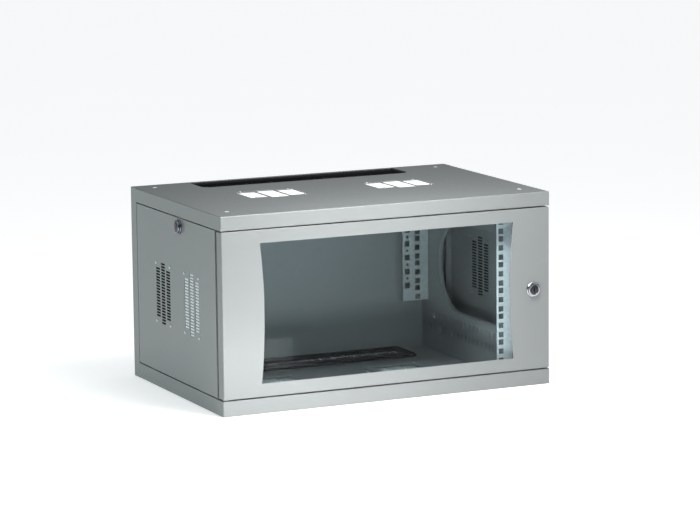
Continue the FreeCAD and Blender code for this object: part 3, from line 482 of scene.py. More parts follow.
@dataclass(frozen=True)
class StudioPaper(Finish):
    """Matt white paper of the studio floor, lit faintly from below."""

    glow: float = 0.42

    def build(self) -> Recipe:
        """An even tone with the faintest fibre."""
        recipe = Recipe(self.name)
        recipe.tones(recipe.grain(3.0), self.colour, 0.99)
        recipe.set(
            Roughness=0.9,
            Specular_IOR_Level=0.1,
            Emission_Color=(1.0, 1.0, 1.0, 1.0),
            Emission_Strength=self.glow,
        )
        return recipe


COAT = PowderCoat("light_grey_coat", "grey_coat", (0.188, 0.2, 0.199))
ZINC = GalvanisedSheet("galvanised_sheet", "zinc", (0.76, 0.8, 0.8))
# Painted shade: a darker copy of the galvanised sheet for the rear rails, which stand deep in the cabinet's
# shade.
SHADED_ZINC = GalvanisedSheet("dull_galvanised_sheet", "zinc", (0.4, 0.44, 0.44), 0.3)
FLAKE = GalvanisedSheet("zinc_flake", "screw_zinc", (0.9, 0.91, 0.9), 0.25)
PLATE = PlatedSteel("bright_zinc_plate", "screw_zinc", (0.70, 0.70, 0.68))
NICKEL = PlatedSteel("nickel_plate", "chrome", (0.5, 0.51, 0.55), 0.12, 0.24)
SMOKED = PlatedSteel("smoked_nickel", "chrome", (0.2, 0.2, 0.24), 0.15, 0.28)
DARK_PLUG = PlatedSteel("dark_plug_steel", "chrome", (0.07, 0.07, 0.08), 0.25, 0.4)
SPRING_WIRE = PlatedSteel("spring_wire", "spring_steel", (0.52, 0.52, 0.53), 0.28, 0.4)
BLACK = MouldedPlastic("black_moulding", "black_plastic", (0.008, 0.008, 0.009), 0.6, 0.75, gloss=0.15)
# Painted shade: a black sheet set behind the side panels' rear slots so that they read dark.
SHADE_GAUZE = MouldedPlastic("black_gauze", "black_plastic", (0.006, 0.006, 0.007), 0.8, 0.95, 0.2 * MM, 0.05)
NYLON = MouldedPlastic("natural_nylon", "bush_plastic", (0.72, 0.70, 0.63))
RUBBER = MouldedPlastic("black_rubber", "gasket", (0.02, 0.02, 0.021), 0.6, 0.78, gloss=0.2)
FLEECE = FilterFleece("filter_fleece", "filter_mat", (0.74, 0.76, 0.75))
# Painted shade: a darker copy of the filter fleece for the bottom mats, which lie in the cabinet's shade.
SHADED_FLEECE = FilterFleece("used_fleece", "filter_mat", (0.4, 0.44, 0.44), 0.0)
BRISTLE = BristleFibre("black_bristle", "bristle", (0.005, 0.005, 0.006))
# The glass tint is darkened as painted shade over the cabinet's inside.
GLASS = ClearGlass("cool_glass", "glass", (0.68, 0.78, 0.81))
PAPER = StudioPaper("studio_paper", "", (0.9, 0.9, 0.9))


# ---- Shaping ----


def circle(radius: float, count: int = RING) -> Outline:
    """Points of a circle, the first on the positive X axis."""
    return [
        (radius * math.cos(math.tau * step / count), radius * math.sin(math.tau * step / count))
        for step in range(count)
    ]


def hexagon(corner: float) -> Outline:
    """Points along a hexagon's sides, as many as a circle has.

    Args:
        corner: Distance from the middle to a corner.

    Returns:
        The points, the first on a corner.
    """
    per_side = RING // 6
    corners = circle(corner, 6)
    points = []
    for index, (x, y) in enumerate(corners):
        next_x, next_y = corners[(index + 1) % 6]
        for step in range(per_side):
            share = step / per_side
            points.append((x + (next_x - x) * share, y + (next_y - y) * share))
    return points


def cross(reach: float, half_width: float) -> Outline:
    """Outline of a cross recess, six points to a quarter."""
    middle = (reach + half_width) / 2
    quarter = [
        (reach, 0.0),
        (reach, half_width),
        (middle, half_width),
        (half_width, half_width),
        (half_width, middle),
        (half_width, reach),
    ]
    points = []
    for turn in range(4):
        cosine = round(math.cos(turn * math.pi / 2))
        sine = round(math.sin(turn * math.pi / 2))
        points.extend((x * cosine - y * sine, x * sine + y * cosine) for x, y in quarter)
    return points


def keyway(length: float, width: float, along_x: bool) -> Outline:
    """Outline of a keyhole slot.

    Args:
        length: Full length of the slot.
        width: Full width of the slot.
        along_x: Whether the slot lies along X.

    Returns:
        The points, in order round the slot.
    """
    points = []
    for x, y in circle(1.0):
        reach = max(abs(x) / length, abs(y) / width) if along_x else max(abs(x) / width, abs(y) / length)
        points.append((x / reach / 2, y / reach / 2))
    return points


def knurled(radius: float, depth: float) -> Outline:
    """A circle whose every other point is pulled in."""
    return [
        (x * (1 - depth * (step % 2) / radius), y * (1 - depth * (step % 2) / radius))
        for step, (x, y) in enumerate(circle(radius))
    ]


def turned(*corners: tuple[float, float]) -> list[Ring]:
    """Rings of a turned body, from the radius and height of each corner of its profile."""
    return [(circle(radius), height) for radius, height in corners]


def foot(low: Vector, high: Vector) -> Vector:
    """Middle of a box's underside."""
    return Vector(((low.x + high.x) / 2, (low.y + high.y) / 2, low.z))


def main_axis(direction: Vector) -> int:
    """Number of the axis that a direction follows most."""
    return max(range(3), key=lambda index: abs(direction[index]))


def edges_of(verts: list[bmesh.types.BMVert]) -> list[bmesh.types.BMEdge]:
    """Every edge that meets some vertices, once each and in a fixed order."""
    return list(dict.fromkeys(edge for vert in verts for edge in vert.link_edges))


def loft(
    bm: bmesh.types.BMesh,
    rings: list[Ring],
    origin: Vector,
    direction: Vector,
    bored: bool = False,
) -> None:
    """Build a body through rings of equal point count and put it in place.

    Args:
        bm: The mesh that gets the body.
        rings: Outlines with their heights along the body's axis.
        origin: Where the axis starts.
        direction: Where the axis points.
        bored: Whether the last ring joins the first, as in a nut.
    """
    count = len(rings[0][0])
    made = bmesh.ops.create_circle(bm, cap_ends=False, radius=1.0, segments=count)["verts"]
    own = list(made)
    edges = edges_of(made)
    index_of = {vert: round(math.atan2(vert.co.y, vert.co.x) / math.tau * count) % count for vert in made}
    loops = [edges]
    for level, (outline, height) in enumerate(rings):
        if level:
            grown = bmesh.ops.extrude_edge_only(bm, edges=edges)["geom"]
            fresh = [item for item in grown if isinstance(item, bmesh.types.BMVert)]
            fresh_set = set(fresh)
            for vert in fresh:
                partners = (edge.other_vert(vert) for edge in vert.link_edges)
                old = next(partner for partner in partners if partner not in fresh_set)
                index_of[vert] = index_of[old]
            edges = [
                item
                for item in grown
                if isinstance(item, bmesh.types.BMEdge) and all(vert in fresh_set for vert in item.verts)
            ]
            loops.append(edges)
            own.extend(fresh)
            made = fresh
        for vert in made:
            x, y = outline[index_of[vert]]
            vert.co = (x, y, height)
    if bored:
        bmesh.ops.bridge_loops(bm, edges=loops[0] + loops[-1])
    else:
        bmesh.ops.edgeloop_fill(bm, edges=loops[0])
        bmesh.ops.edgeloop_fill(bm, edges=loops[-1])
    turn = Vector((0, 0, 1)).rotation_difference(direction).to_matrix().to_4x4()
    bmesh.ops.transform(bm, matrix=Matrix.Translation(origin) @ turn, verts=own)


def islands(node: str) -> list[Box]:
    """Boxes of the separate solids of a node.

    Args:
        node: Name of the node.

    Returns:
        Lowest and highest corner of each solid, in a fixed order.
    """
    bm = merged(node)
    waiting = set(bm.verts)
    boxes = []
    while waiting:
        stack = [waiting.pop()]
        seen = list(stack)
        while stack:
            for edge in stack.pop().link_edges:
                for vert in edge.verts:
                    if vert in waiting:
                        waiting.discard(vert)
                        stack.append(vert)
                        seen.append(vert)
        low = Vector(min(vert.co[axis] for vert in seen) for axis in range(3))
        high = Vector(max(vert.co[axis] for vert in seen) for axis in range(3))
        boxes.append((low, high))
    bm.free()
    return sorted(boxes, key=lambda box: tuple(round(value, 5) for value in box[0]))


def merged(node: str) -> bmesh.types.BMesh:
    """A welded copy of a node's mesh."""
    bm = bmesh.new()
    bm.from_mesh(NODES[node].data)
    bmesh.ops.remove_doubles(bm, verts=bm.verts, dist=WELD_DISTANCE)
    return bm


def shown(
    bm: bmesh.types.BMesh, name: str, finish: Finish, body: str, nodes: tuple[str, ...], outward: bool = True
) -> bpy.types.Object:
    """Turn a finished mesh into a piece that stands for nodes and rides on a body.

    Args:
        bm: The mesh, which is used up.
        name: The piece's name.
        finish: Its finish.
        body: The body that it rides on.
        nodes: The nodes that it stands for.
        outward: Whether the faces still have to be turned outward.

    Returns:
        The piece.
    """
    if outward:
        bmesh.ops.recalc_face_normals(bm, faces=bm.faces)
    mesh = bpy.data.meshes.new(name)
    bm.to_mesh(mesh)
    bm.free()
    mesh.materials.append(finish.made())
    mesh.polygons.foreach_set("use_smooth", [True] * len(mesh.polygons))
    mesh.set_sharp_from_angle(angle=SHARP_ANGLE)
    piece = bpy.data.objects.new(name, mesh)
    bpy.context.scene.collection.objects.link(piece)
    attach(piece, body)
    if nodes:
        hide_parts(*nodes)
    LOG.info("%s: %d faces on %s", name, len(mesh.polygons), body)
    return piece


def lofted(
    node: str, name: str, finish: Finish, rings: list[Ring], origin: Vector, direction: Vector, bored: bool
) -> bpy.types.Object:
    """Loft a piece that stands for one node.

    Args:
        node: Name of the node.
        name: The piece's name.
        finish: Its finish.
        rings: Outlines with their heights along the piece's axis.
        origin: Where the axis starts.
        direction: Where the axis points.
        bored: Whether the last ring joins the first.

    Returns:
        The piece.
    """
    bm = bmesh.new()
    loft(bm, rings, origin, direction, bored)
    return shown(bm, name, finish, BODY_OF[node], (node,))


def redress(node: str, finish: Finish) -> None:
    """Give a node that stays as it is another finish.

    Args:
        node: Name of the node.
        finish: Its finish.
    """
    mesh = NODES[node].data
    mesh.materials.clear()
    mesh.materials.append(finish.made())
    LOG.info("%s: redressed in %s", node, finish.name)


@dataclass
class Pressing:
    """A part taken over from the frame, with its folds and cut edges rounded."""

    node: str
    finish: Finish = COAT
    fold_radius: float = 1.8 * MM
    cut_radius: float = 0.25 * MM
    fold_width: float = 3.0 * MM
    fold_length: float = 15.0 * MM
    probe_depth: float = 0.1 * MM
    room_share: float = 0.8
    flat_angle: float = math.radians(0.5)
    edge_angle: float = math.radians(50)
    segments: int = 3
    moulded: bool = False

    def build(self) -> bpy.types.Object:
        """Copy the node, weigh its edges and bevel them.

        Returns:
            The piece that stands for the node.
        """
        bm = merged(self.node)
        bmesh.ops.dissolve_limit(
            bm,
            angle_limit=self.flat_angle,
            use_dissolve_boundaries=False,
            verts=bm.verts,
            edges=bm.edges,
        )
        weight = bm.edges.layers.float.new("bevel_weight_edge")
        solid = BVHTree.FromBMesh(bm)
        for edge in bm.edges:
            if len(edge.link_faces) != 2:
                continue
            angle = edge.calc_face_angle_signed(0.0)
            if abs(angle) < self.edge_angle:
                continue
            radius = self.fold_radius if self.is_fold(edge, angle, solid) else self.cut_radius
            edge[weight] = min(radius, self.room_share * self.room(edge)) / self.fold_radius
        piece = shown(bm, f"{self.node}_sheet", self.finish, BODY_OF[self.node], (self.node,), False)
        rounding = piece.modifiers.new("rounded_edges", "BEVEL")
        rounding.limit_method = "WEIGHT"
        rounding.offset_type = "OFFSET"
        rounding.width = self.fold_radius
        rounding.segments = self.segments
        rounding.profile = 0.5
        rounding.use_clamp_overlap = False
        rounding.harden_normals = True
        rounding.material = -1
        return piece

    def is_fold(self, edge: bmesh.types.BMEdge, angle: float, solid: BVHTree) -> bool:
        """Whether an edge is the outside of a bend rather than a cut edge.

        Args:
            edge: The edge.
            angle: The signed angle between its faces.
            solid: The sheet's faces, for measuring through it.

        Returns:
            True if the sheet runs on from the edge along both faces, or if the part is moulded.
        """
        if angle < 0 or edge.calc_length() < self.fold_length:
            return False
        if self.moulded:
            return True
        middle = (edge.verts[0].co + edge.verts[1].co) / 2
        for loop in edge.link_loops:
            along = (loop.link_loop_next.vert.co - loop.vert.co).normalized()
            inward = loop.face.normal.cross(along)
            start = middle + (inward - loop.face.normal) * self.probe_depth
            if solid.ray_cast(start, inward, self.fold_width)[0] is not None:
                return False
        return True

    @staticmethod
    def room(edge: bmesh.types.BMEdge) -> float:
        """Length of the shortest edge that meets an edge's ends."""
        return min(other.calc_length() for vert in edge.verts for other in vert.link_edges)


class HeadStyle(Enum):
    """Shapes of screw heads, as shares of the head's radius at foot, shoulder and crown."""

    PAN = (1.0, 1.0, 0.72)
    FLUSH = (0.9, 1.0, 0.96)


@dataclass
class Screws:
    """A node full of equal screws with a cross recess."""

    node: str
    name: str
    head_height: float
    shank_radius: float
    style: HeadStyle = HeadStyle.PAN
    finish: Finish = PLATE
    towards: Direction | None = None
    recess_reach: float = 0.56
    recess_half_width: float = 0.14
    floor_reach: float = 0.6
    floor_half_width: float = 0.1

    def build(self) -> bpy.types.Object:
        """Put a screw in the place of each solid of the node.

        Returns:
            The piece that holds all the screws.
        """
        bm = bmesh.new()
        for low, high in islands(self.node):
            self.add_screw(bm, low, high)
        return shown(bm, self.name, self.finish, BODY_OF[self.node], (self.node,))

    def add_screw(self, bm: bmesh.types.BMesh, low: Vector, high: Vector) -> None:
        """Add one screw inside a solid's box.

        Args:
            bm: The mesh of all the screws.
            low: Lowest corner of the solid.
            high: Highest corner of the solid.
        """
        middle = (low + high) / 2
        outward = self.towards.vector if self.towards else Vector((-math.copysign(1.0, middle.x), 0, 0))
        axis = main_axis(outward)
        across = (axis + 1) % 3
        radius = (high[across] - low[across]) / 2
        top = middle.copy()
        top[axis] = high[axis] if outward[axis] > 0 else low[axis]
        length = high[axis] - low[axis]
        foot_share, shoulder, crown = self.style.value
        depth = min(self.head_height * 0.75, radius * 0.5)
        reach = radius * self.recess_reach
        rings = turned(
            (self.shank_radius * 0.7, -length),
            (self.shank_radius, -length + self.shank_radius * 0.4),
            (self.shank_radius, -self.head_height),
            (radius * foot_share, -self.head_height),
            (radius * shoulder, -self.head_height * 0.55),
            (radius * (shoulder + crown) / 2, -self.head_height * 0.16),
            (radius * crown, 0.0),
        )
        rings.append((cross(reach, radius * self.recess_half_width), 0.0))
        rings.append((cross(reach * self.floor_reach, radius * self.floor_half_width), -depth))
        loft(bm, rings, top, outward)


# ---- Sub-assemblies ----


@dataclass
class Shell:
    """Covers, rear panel and side frames."""

    pressings: tuple[Pressing, ...] = (
        Pressing("top_cover"),
        Pressing("bottom_cover"),
        Pressing("rear_panel"),
        Pressing("side_frame_left", fold_radius=1.5 * MM),
        Pressing("side_frame_right", fold_radius=1.5 * MM),
    )

    def build(self) -> None:
        """Round every pressing and set the corner screws."""
        for pressing in self.pressings:
            pressing.build()
        for level, towards in (("top", Direction.UP), ("bottom", Direction.DOWN)):
            Screws(
                f"{level}_cover_screws",
                f"{level}_corner_screws",
                1.5 * MM,
                2.4 * MM,
                HeadStyle.FLUSH,
                FLAKE,
                towards,
            ).build()


@dataclass
class Rails:
    """The four rack rails and their screws."""

    front_radius: float = 2.2 * MM
    cut_radius: float = 0.3 * MM

    def build(self) -> None:
        """Round the rails' bends and set their screws."""
        for side in Side:
            Pressing(f"front_rail_{side.word}", ZINC, self.front_radius, self.cut_radius).build()
            # The rear rails take the darker zinc copy: painted shade.
            Pressing(f"rear_rail_{side.word}", SHADED_ZINC, self.front_radius, self.cut_radius).build()
        Screws("rail_screws", "rail_pan_screws", 2.5 * MM, 2.4 * MM).build()


@dataclass
class CableEntry:
    """A brush frame with two facing rows of bristles."""

    level: str
    pitch: float = 0.9 * MM
    thickness: float = 0.26 * MM
    layers: int = 3
    tuft: int = 30
    stray: float = 0.35 * MM
    overhang: float = 4.4 * MM
    holder_depth: float = 3.0 * MM
    holder_edge: float = 0.4 * MM
    seed: int = 7

    def build(self) -> None:
        """Round the frame, then plant the bristles."""
        frame = f"brush_frame_{self.level}"
        Pressing(frame, BLACK, 0.9 * MM, 0.3 * MM, fold_length=10.0 * MM, moulded=True).build()
        rows = islands(f"brush_bristles_{self.level}")
        draw = random.Random(self.seed)
        bm = bmesh.new()
        for low, high in rows:
            forward = 1.0 if low.y == min(row[0].y for row in rows) else -1.0
            self.add_row(bm, low, high, forward, draw)
            self.add_holder(bm, low, high, forward)
        shown(
            bm,
            f"cable_brush_{self.level}",
            BRISTLE,
            BODY_OF[frame],
            (f"brush_bristles_{self.level}",),
        )

    def add_row(
        self, bm: bmesh.types.BMesh, low: Vector, high: Vector, forward: float, draw: random.Random
    ) -> None:
        """Plant one row of bristles.

        Args:
            bm: The mesh of the brush.
            low: Lowest corner of the row.
            high: Highest corner of the row.
            forward: 1 if the bristles point to the rear, -1 if to the front.
            draw: Source of chance.
        """
        root_y = low.y if forward > 0 else high.y
        length = high.y - low.y + self.overhang
        count = int((high.x - low.x) / self.pitch)
        for layer in range(self.layers):
            height = low.z + (high.z - low.z) * (layer + 0.5) / self.layers
            for start in range(0, count, self.tuft):
                tuft = bmesh.new()
                for index in range(start, min(start + self.tuft, count)):
                    x = low.x + self.pitch * (index + 0.25 + 0.5 * draw.random())
                    reach = length * draw.uniform(0.93, 1.0)
                    root = Vector((x, root_y, height))
                    self.add_bristle(tuft, root, reach, forward, draw)
                holder = bpy.data.meshes.new("tuft")
                tuft.to_mesh(holder)
                tuft.free()
                bm.from_mesh(holder)
                bpy.data.meshes.remove(holder)

    def add_bristle(
        self, bm: bmesh.types.BMesh, root: Vector, reach: float, forward: float, draw: random.Random
    ) -> None:
        """Add one bristle, slightly off straight.

        Args:
            bm: The mesh of the tuft.
            root: Where the bristle starts.
            reach: Its length.
            forward: 1 if it points to the rear, -1 if to the front.
            draw: Source of chance.
        """
        lean = draw.gauss(0.0, self.stray)
        sag = draw.gauss(0.0, self.stray / 3)
        made = bmesh.ops.create_cone(
            bm,
            cap_ends=False,
            segments=3,
            radius1=self.thickness,
            radius2=self.thickness * 0.55,
            depth=reach,
        )["verts"]
        aim = Vector((lean / reach, forward, sag / reach))
        turn = Vector((0, 0, 1)).rotation_difference(aim).to_matrix().to_4x4()
        middle = root + aim * reach / 2
        bmesh.ops.transform(bm, matrix=Matrix.Translation(middle) @ turn, verts=made)

    def add_holder(self, bm: bmesh.types.BMesh, low: Vector, high: Vector, forward: float) -> None:
        """Add the crimped strip that holds a row's roots.

        Args:
            bm: The mesh of the brush.
            low: Lowest corner of the row.
            high: Highest corner of the row.
            forward: 1 if the bristles point to the rear, -1 if to the front.
        """
        depth = self.holder_depth
        near = low.y if forward > 0 else high.y - depth
        verts = bmesh.ops.create_cube(bm, size=1.0)["verts"]
        bmesh.ops.scale(bm, vec=(high.x - low.x, depth, high.z - low.z), verts=verts)
        bmesh.ops.translate(
            bm, vec=((low.x + high.x) / 2, near + depth / 2, (low.z + high.z) / 2), verts=verts
        )
        bmesh.ops.bevel(
            bm,
            geom=edges_of(verts),
            offset=self.holder_edge,
            offset_type="OFFSET",
            segments=2,
            profile=0.5,
            affect="EDGES",
            material=-1,
        )


@dataclass(frozen=True)
class Padding:
    """A way of padding: a slab divided across its face, crushed at its rim and slightly uneven."""

    thin_axis: int
    spacing: float = 3.0 * MM
    unevenness: float = 0.25 * MM
    edge_pull: float = 0.9 * MM
    waves: float = 90.0

    def add(self, bm: bmesh.types.BMesh, low: Vector, high: Vector) -> None:
        """Add one pad.

        Args:
            bm: The mesh of all pads.
            low: Lowest corner of the pad.
            high: Highest corner of the pad.
        """
        size = high - low
        flat = [axis for axis in range(3) if axis != self.thin_axis]
        grid = bmesh.ops.create_grid(
            bm,
            x_segments=round(size[flat[0]] / self.spacing),
            y_segments=round(size[flat[1]] / self.spacing),
            size=0.5,
        )["verts"]
        faces = list(dict.fromkeys(face for vert in grid for face in vert.link_faces))
        grown = bmesh.ops.extrude_face_region(bm, geom=faces)["geom"]
        upper = [item for item in grown if isinstance(item, bmesh.types.BMVert)]
        for verts, height in ((grid, 0.0), (upper, 1.0)):
            for vert in verts:
                u, v = vert.co.x + 0.5, vert.co.y + 0.5
                spot = low.copy()
                spot[flat[0]] += u * size[flat[0]]
                spot[flat[1]] += v * size[flat[1]]
                rim = min(u, 1 - u, v, 1 - v) < 0.01
                dent = self.unevenness * (0.5 + 0.5 * noise.noise(spot * self.waves))
                crush = self.edge_pull if rim else dent
                level = low[self.thin_axis] + height * size[self.thin_axis]
                spot[self.thin_axis] = level + (crush if height == 0.0 else -crush)
                vert.co = spot


@dataclass
class FilterMats:
    """The fleece mats of one node, each a soft pad between sheet and frame."""

    node: str
    name: str
    body: str
    padding: Padding
    finish: Finish = FLEECE

    def build(self) -> bpy.types.Object:
        """Make a mat for each solid of the node.

        Returns:
            The piece that holds the mats.
        """
        bm = bmesh.new()
        for low, high in islands(self.node):
            self.add_mat(bm, low, high)
        return shown(bm, self.name, self.finish, self.body, (self.node,))

    def add_mat(self, bm: bmesh.types.BMesh, low: Vector, high: Vector) -> None:
        """Fill a solid's box with one pad."""
        self.padding.add(bm, low, high)


@dataclass
class FleeceStrips(FilterMats):
    """Thin mats cut into three strips, one over each window of a grille."""

    thickness: float = 1.0 * MM
    pitch: float = 36.0 * MM
    width: float = 33.0 * MM
    setback: float = 9.0 * MM

    def add_mat(self, bm: bmesh.types.BMesh, low: Vector, high: Vector) -> None:
        """Add the three strips of one grille.

        Args:
            bm: The mesh of all strips.
            low: Lowest corner of the space for them.
            high: Highest corner of the space for them.
        """
        middle = (low.x + high.x) / 2
        for step in (-1, 0, 1):
            inset = self.setback * abs(step)
            near = Vector((middle + step * self.pitch - self.width / 2, low.y + inset, low.z))
            far = Vector((near.x + self.width, high.y - inset, low.z + self.thickness))
            self.padding.add(bm, near, far)


@dataclass
class Ventilation:
    """Filter mats, their frames and screws in both covers."""

    def build(self) -> None:
        """Pads, frames and screws at the top and the bottom."""
        thick = Padding(2)
        thin = Padding(2, unevenness=0.1 * MM, edge_pull=0.2 * MM)
        FilterMats("top_filter_mats", "top_fleece", "cabinet", thick).build()
        # The bottom strips get the darker fleece copy: painted shade.
        FleeceStrips("bottom_filter_mats", "bottom_fleece", "cabinet", thin, SHADED_FLEECE).build()
        for level, finish in (("top", ZINC), ("bottom", COAT)):
            Pressing(f"{level}_filter_frames", finish, 0.6 * MM, 0.25 * MM).build()
            Screws(
                f"{level}_filter_screws",
                f"{level}_grille_screws",
                1.0 * MM,
                1.4 * MM,
                towards=Direction.UP,
            ).build()


@dataclass
class BarrelLock:
    """A barrel lock seen from its face: flange, ring, plug with keyway, nut, cam and cam screw."""

    prefix: str
    name: str
    towards: Direction
    slot_along_x: bool
    finish: Finish = NICKEL
    flange_height: float = 2.5 * MM
    ring_height: float = 3.5 * MM
    wall: float = 2.0 * MM
    ring_wall: float = 0.8 * MM
    gap: float = 0.05 * MM
    plug_proud: float = 0.5 * MM
    nut_wall: float = 4.0 * MM
    key_length: float = 10.0 * MM
    key_width: float = 1.8 * MM
    key_depth: float = 5.0 * MM

    def build(self) -> None:
        """Make every part of the lock from the frame's boxes."""
        outward = self.towards.vector
        axis = main_axis(outward)
        across = (axis + 1) % 3
        low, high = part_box(f"{self.prefix}_body")
        middle = (low + high) / 2
        face = middle.copy()
        face[axis] = high[axis] if outward[axis] > 0 else low[axis]
        flange = (high[across] - low[across]) / 2
        plug_low, plug_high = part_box(f"{self.prefix}_plug")
        plug = (plug_high[across] - plug_low[across]) / 2
        self.build_body(face, outward, high[axis] - low[axis], flange, plug)
        self.build_plug(face, outward, plug_high[axis] - plug_low[axis], plug)
        self.build_nut(outward, axis)
        Pressing(f"{self.prefix}_cam", PLATE, 0.8 * MM, 0.3 * MM).build()
        away = {Direction.FRONT: Direction.REAR, Direction.LEFT: Direction.RIGHT}
        screw_faces = away.get(self.towards, Direction.LEFT)
        Screws(
            f"{self.prefix}_cam_screw", f"{self.name}_cam_bolt", 2.5 * MM, 2.4 * MM, towards=screw_faces
        ).build()

    def build_body(self, face: Vector, outward: Vector, length: float, flange: float, plug: float) -> None:
        """Turn the housing with its flange and ring.

        Args:
            face: Middle of the ring's face.
            outward: Where the face looks.
            length: Length of the whole housing.
            flange: The flange's radius.
            plug: The plug's radius.
        """
        barrel = plug + self.wall
        ring = barrel + self.ring_wall
        back = -self.ring_height
        bore = plug + self.gap
        rings = turned(
            (bore, -length),
            (barrel - 0.4 * MM, -length),
            (barrel, -length + 0.5 * MM),
            (barrel, back - self.flange_height),
            (flange - 0.3 * MM, back - self.flange_height),
            (flange, back - self.flange_height + 0.4 * MM),
            (flange, back - 1.1 * MM),
            (flange - 0.35 * MM, back - 0.45 * MM),
            (flange - 1.0 * MM, back),
            (ring, back),
            (ring, -0.9 * MM),
            (ring - 0.3 * MM, -0.3 * MM),
            (ring - 0.9 * MM, 0.0),
            (bore + 0.5 * MM, 0.0),
            (bore, -0.4 * MM),
        )
        lofted(f"{self.prefix}_body", f"{self.name}_housing", self.finish, rings, face, outward, True)

    def build_plug(self, face: Vector, outward: Vector, length: float, plug: float) -> None:
        """Turn the plug and cut its keyway.

        Args:
            face: Middle of the housing ring's face.
            outward: Where the face looks.
            length: Length of the whole plug.
            plug: The plug's radius.
        """
        proud = self.plug_proud
        mouth = keyway(self.key_length, self.key_width, self.slot_along_x)
        throat = keyway(self.key_length - 0.8 * MM, self.key_width - 0.5 * MM, self.slot_along_x)
        rings = turned(
            (plug - 0.3 * MM, -length + proud),
            (plug, -length + proud + 0.4 * MM),
            (plug, -0.1 * MM),
            (plug - 0.35 * MM, 0.35 * MM),
            (plug - 0.8 * MM, proud),
        )
        rings += [(mouth, proud), (throat, 0.0), (throat, proud - self.key_depth)]
        lofted(f"{self.prefix}_plug", f"{self.name}_cylinder", DARK_PLUG, rings, face, outward, False)

    def build_nut(self, outward: Vector, axis: int) -> None:
        """Make the hexagon nut that clamps the housing.

        Args:
            outward: Where the lock's face looks.
            axis: Number of the axis along that direction.
        """
        node = f"{self.prefix}_nut"
        low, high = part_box(node)
        middle = (low + high) / 2
        inner = middle.copy()
        inner[axis] = low[axis] if outward[axis] > 0 else high[axis]
        size = high - low
        corner = max(size[index] for index in range(3) if index != axis) / 2
        rings = nut_rings(corner, corner - self.nut_wall, size[axis])
        lofted(node, f"{self.name}_nut", PLATE, rings, inner, outward, True)


def nut_rings(corner: float, bore: float, height: float) -> list[Ring]:
    """Rings of a chamfered hexagon nut.

    Args:
        corner: Distance from the middle to a corner.
        bore: Radius of its thread.
        height: Its height.

    Returns:
        The rings, from the thread's foot round to its top.
    """
    trim = corner * 0.93
    clipped = [
        (x * min(1.0, trim / math.hypot(x, y)), y * min(1.0, trim / math.hypot(x, y)))
        for x, y in hexagon(corner)
    ]
    lead = 0.5 * MM
    return [
        (circle(bore), lead),
        (circle(bore + lead), 0.0),
        (clipped, 0.0),
        (hexagon(corner), lead),
        (hexagon(corner), height - lead),
        (clipped, height),
        (circle(bore + lead), height),
        (circle(bore), height - lead),
    ]


@dataclass
class SidePanel:
    """A removable side panel with its filter, its dark shade gauze and its lock."""

    side: Side
    gauze_inset: float = 0.5 * MM
    gauze_thickness: float = 0.4 * MM
    gauze_mesh: float = 1.5 * MM
    gauze_relief: float = 0.08 * MM

    def build(self) -> None:
        """Round the panel, pad its filter and fit its screws and lock."""
        word = self.side.word
        out = Direction.LEFT if self.side is Side.LEFT else Direction.RIGHT
        body = f"{word}_panel"
        Pressing(f"side_panel_{word}", COAT, 1.6 * MM, 0.2 * MM).build()
        Pressing(f"side_filter_frame_{word}", ZINC, 0.6 * MM, 0.25 * MM).build()
        FilterMats(f"side_filter_mat_{word}", f"side_fleece_{word}", body, Padding(0)).build()
        Screws(
            f"side_filter_screws_{word}", f"vent_screws_{word}", 1.0 * MM, 1.4 * MM, towards=out
        ).build()
        BarrelLock(f"{word}_lock", f"{word}_side_lock", out, True, SMOKED).build()
        self.build_gauze(body)

    def build_gauze(self, body: str) -> None:
        """Set a thin black sheet into the panel across the rear slots: painted shade that makes the slots
        look dark, as the shaded inside would.

        Args:
            body: The panel's body.
        """
        word = self.side.word
        low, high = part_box(f"side_filter_mat_{word}")
        rows = sorted({round(screw[0].y, 5) for screw in islands(f"side_filter_screws_{word}")})
        panel_low, panel_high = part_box(f"side_panel_{word}")
        near = self.gauze_inset
        far = near + self.gauze_thickness
        if self.side is Side.LEFT:
            low.x, high.x = panel_low.x + near, panel_low.x + far
        else:
            low.x, high.x = panel_high.x - far, panel_high.x - near
        for corner in (low, high):
            corner.y += rows[2] - rows[0]
        bm = bmesh.new()
        Padding(0, self.gauze_mesh, self.gauze_relief, self.gauze_relief).add(bm, low, high)
        # Painted shade: this black sheet stands for the dark inside seen through the slots.
        shown(bm, f"vent_gauze_{word}", SHADE_GAUZE, body, ())


@dataclass
class Door:
    """The pressed door pan with its glass, seal, clips and lock."""

    glass_edge: float = 0.5 * MM

    def build(self) -> None:
        """Round the pan, polish the glass and fit the hardware."""
        Pressing("door_frame", COAT, 2.0 * MM, 0.3 * MM).build()
        # The pane's darkened tint is painted shade over the inside.
        pane = Pressing("door_glass", GLASS, self.glass_edge, self.glass_edge).build()
        pane.visible_shadow = False
        redress("glazing_gasket", RUBBER)
        Pressing("glass_clips", ZINC, 0.5 * MM, 0.25 * MM, segments=2).build()
        Screws(
            "glass_clip_screws", "clip_pan_screws", 2.2 * MM, 1.9 * MM, towards=Direction.REAR
        ).build()
        BarrelLock("door_lock", "front_lock", Direction.FRONT, False).build()


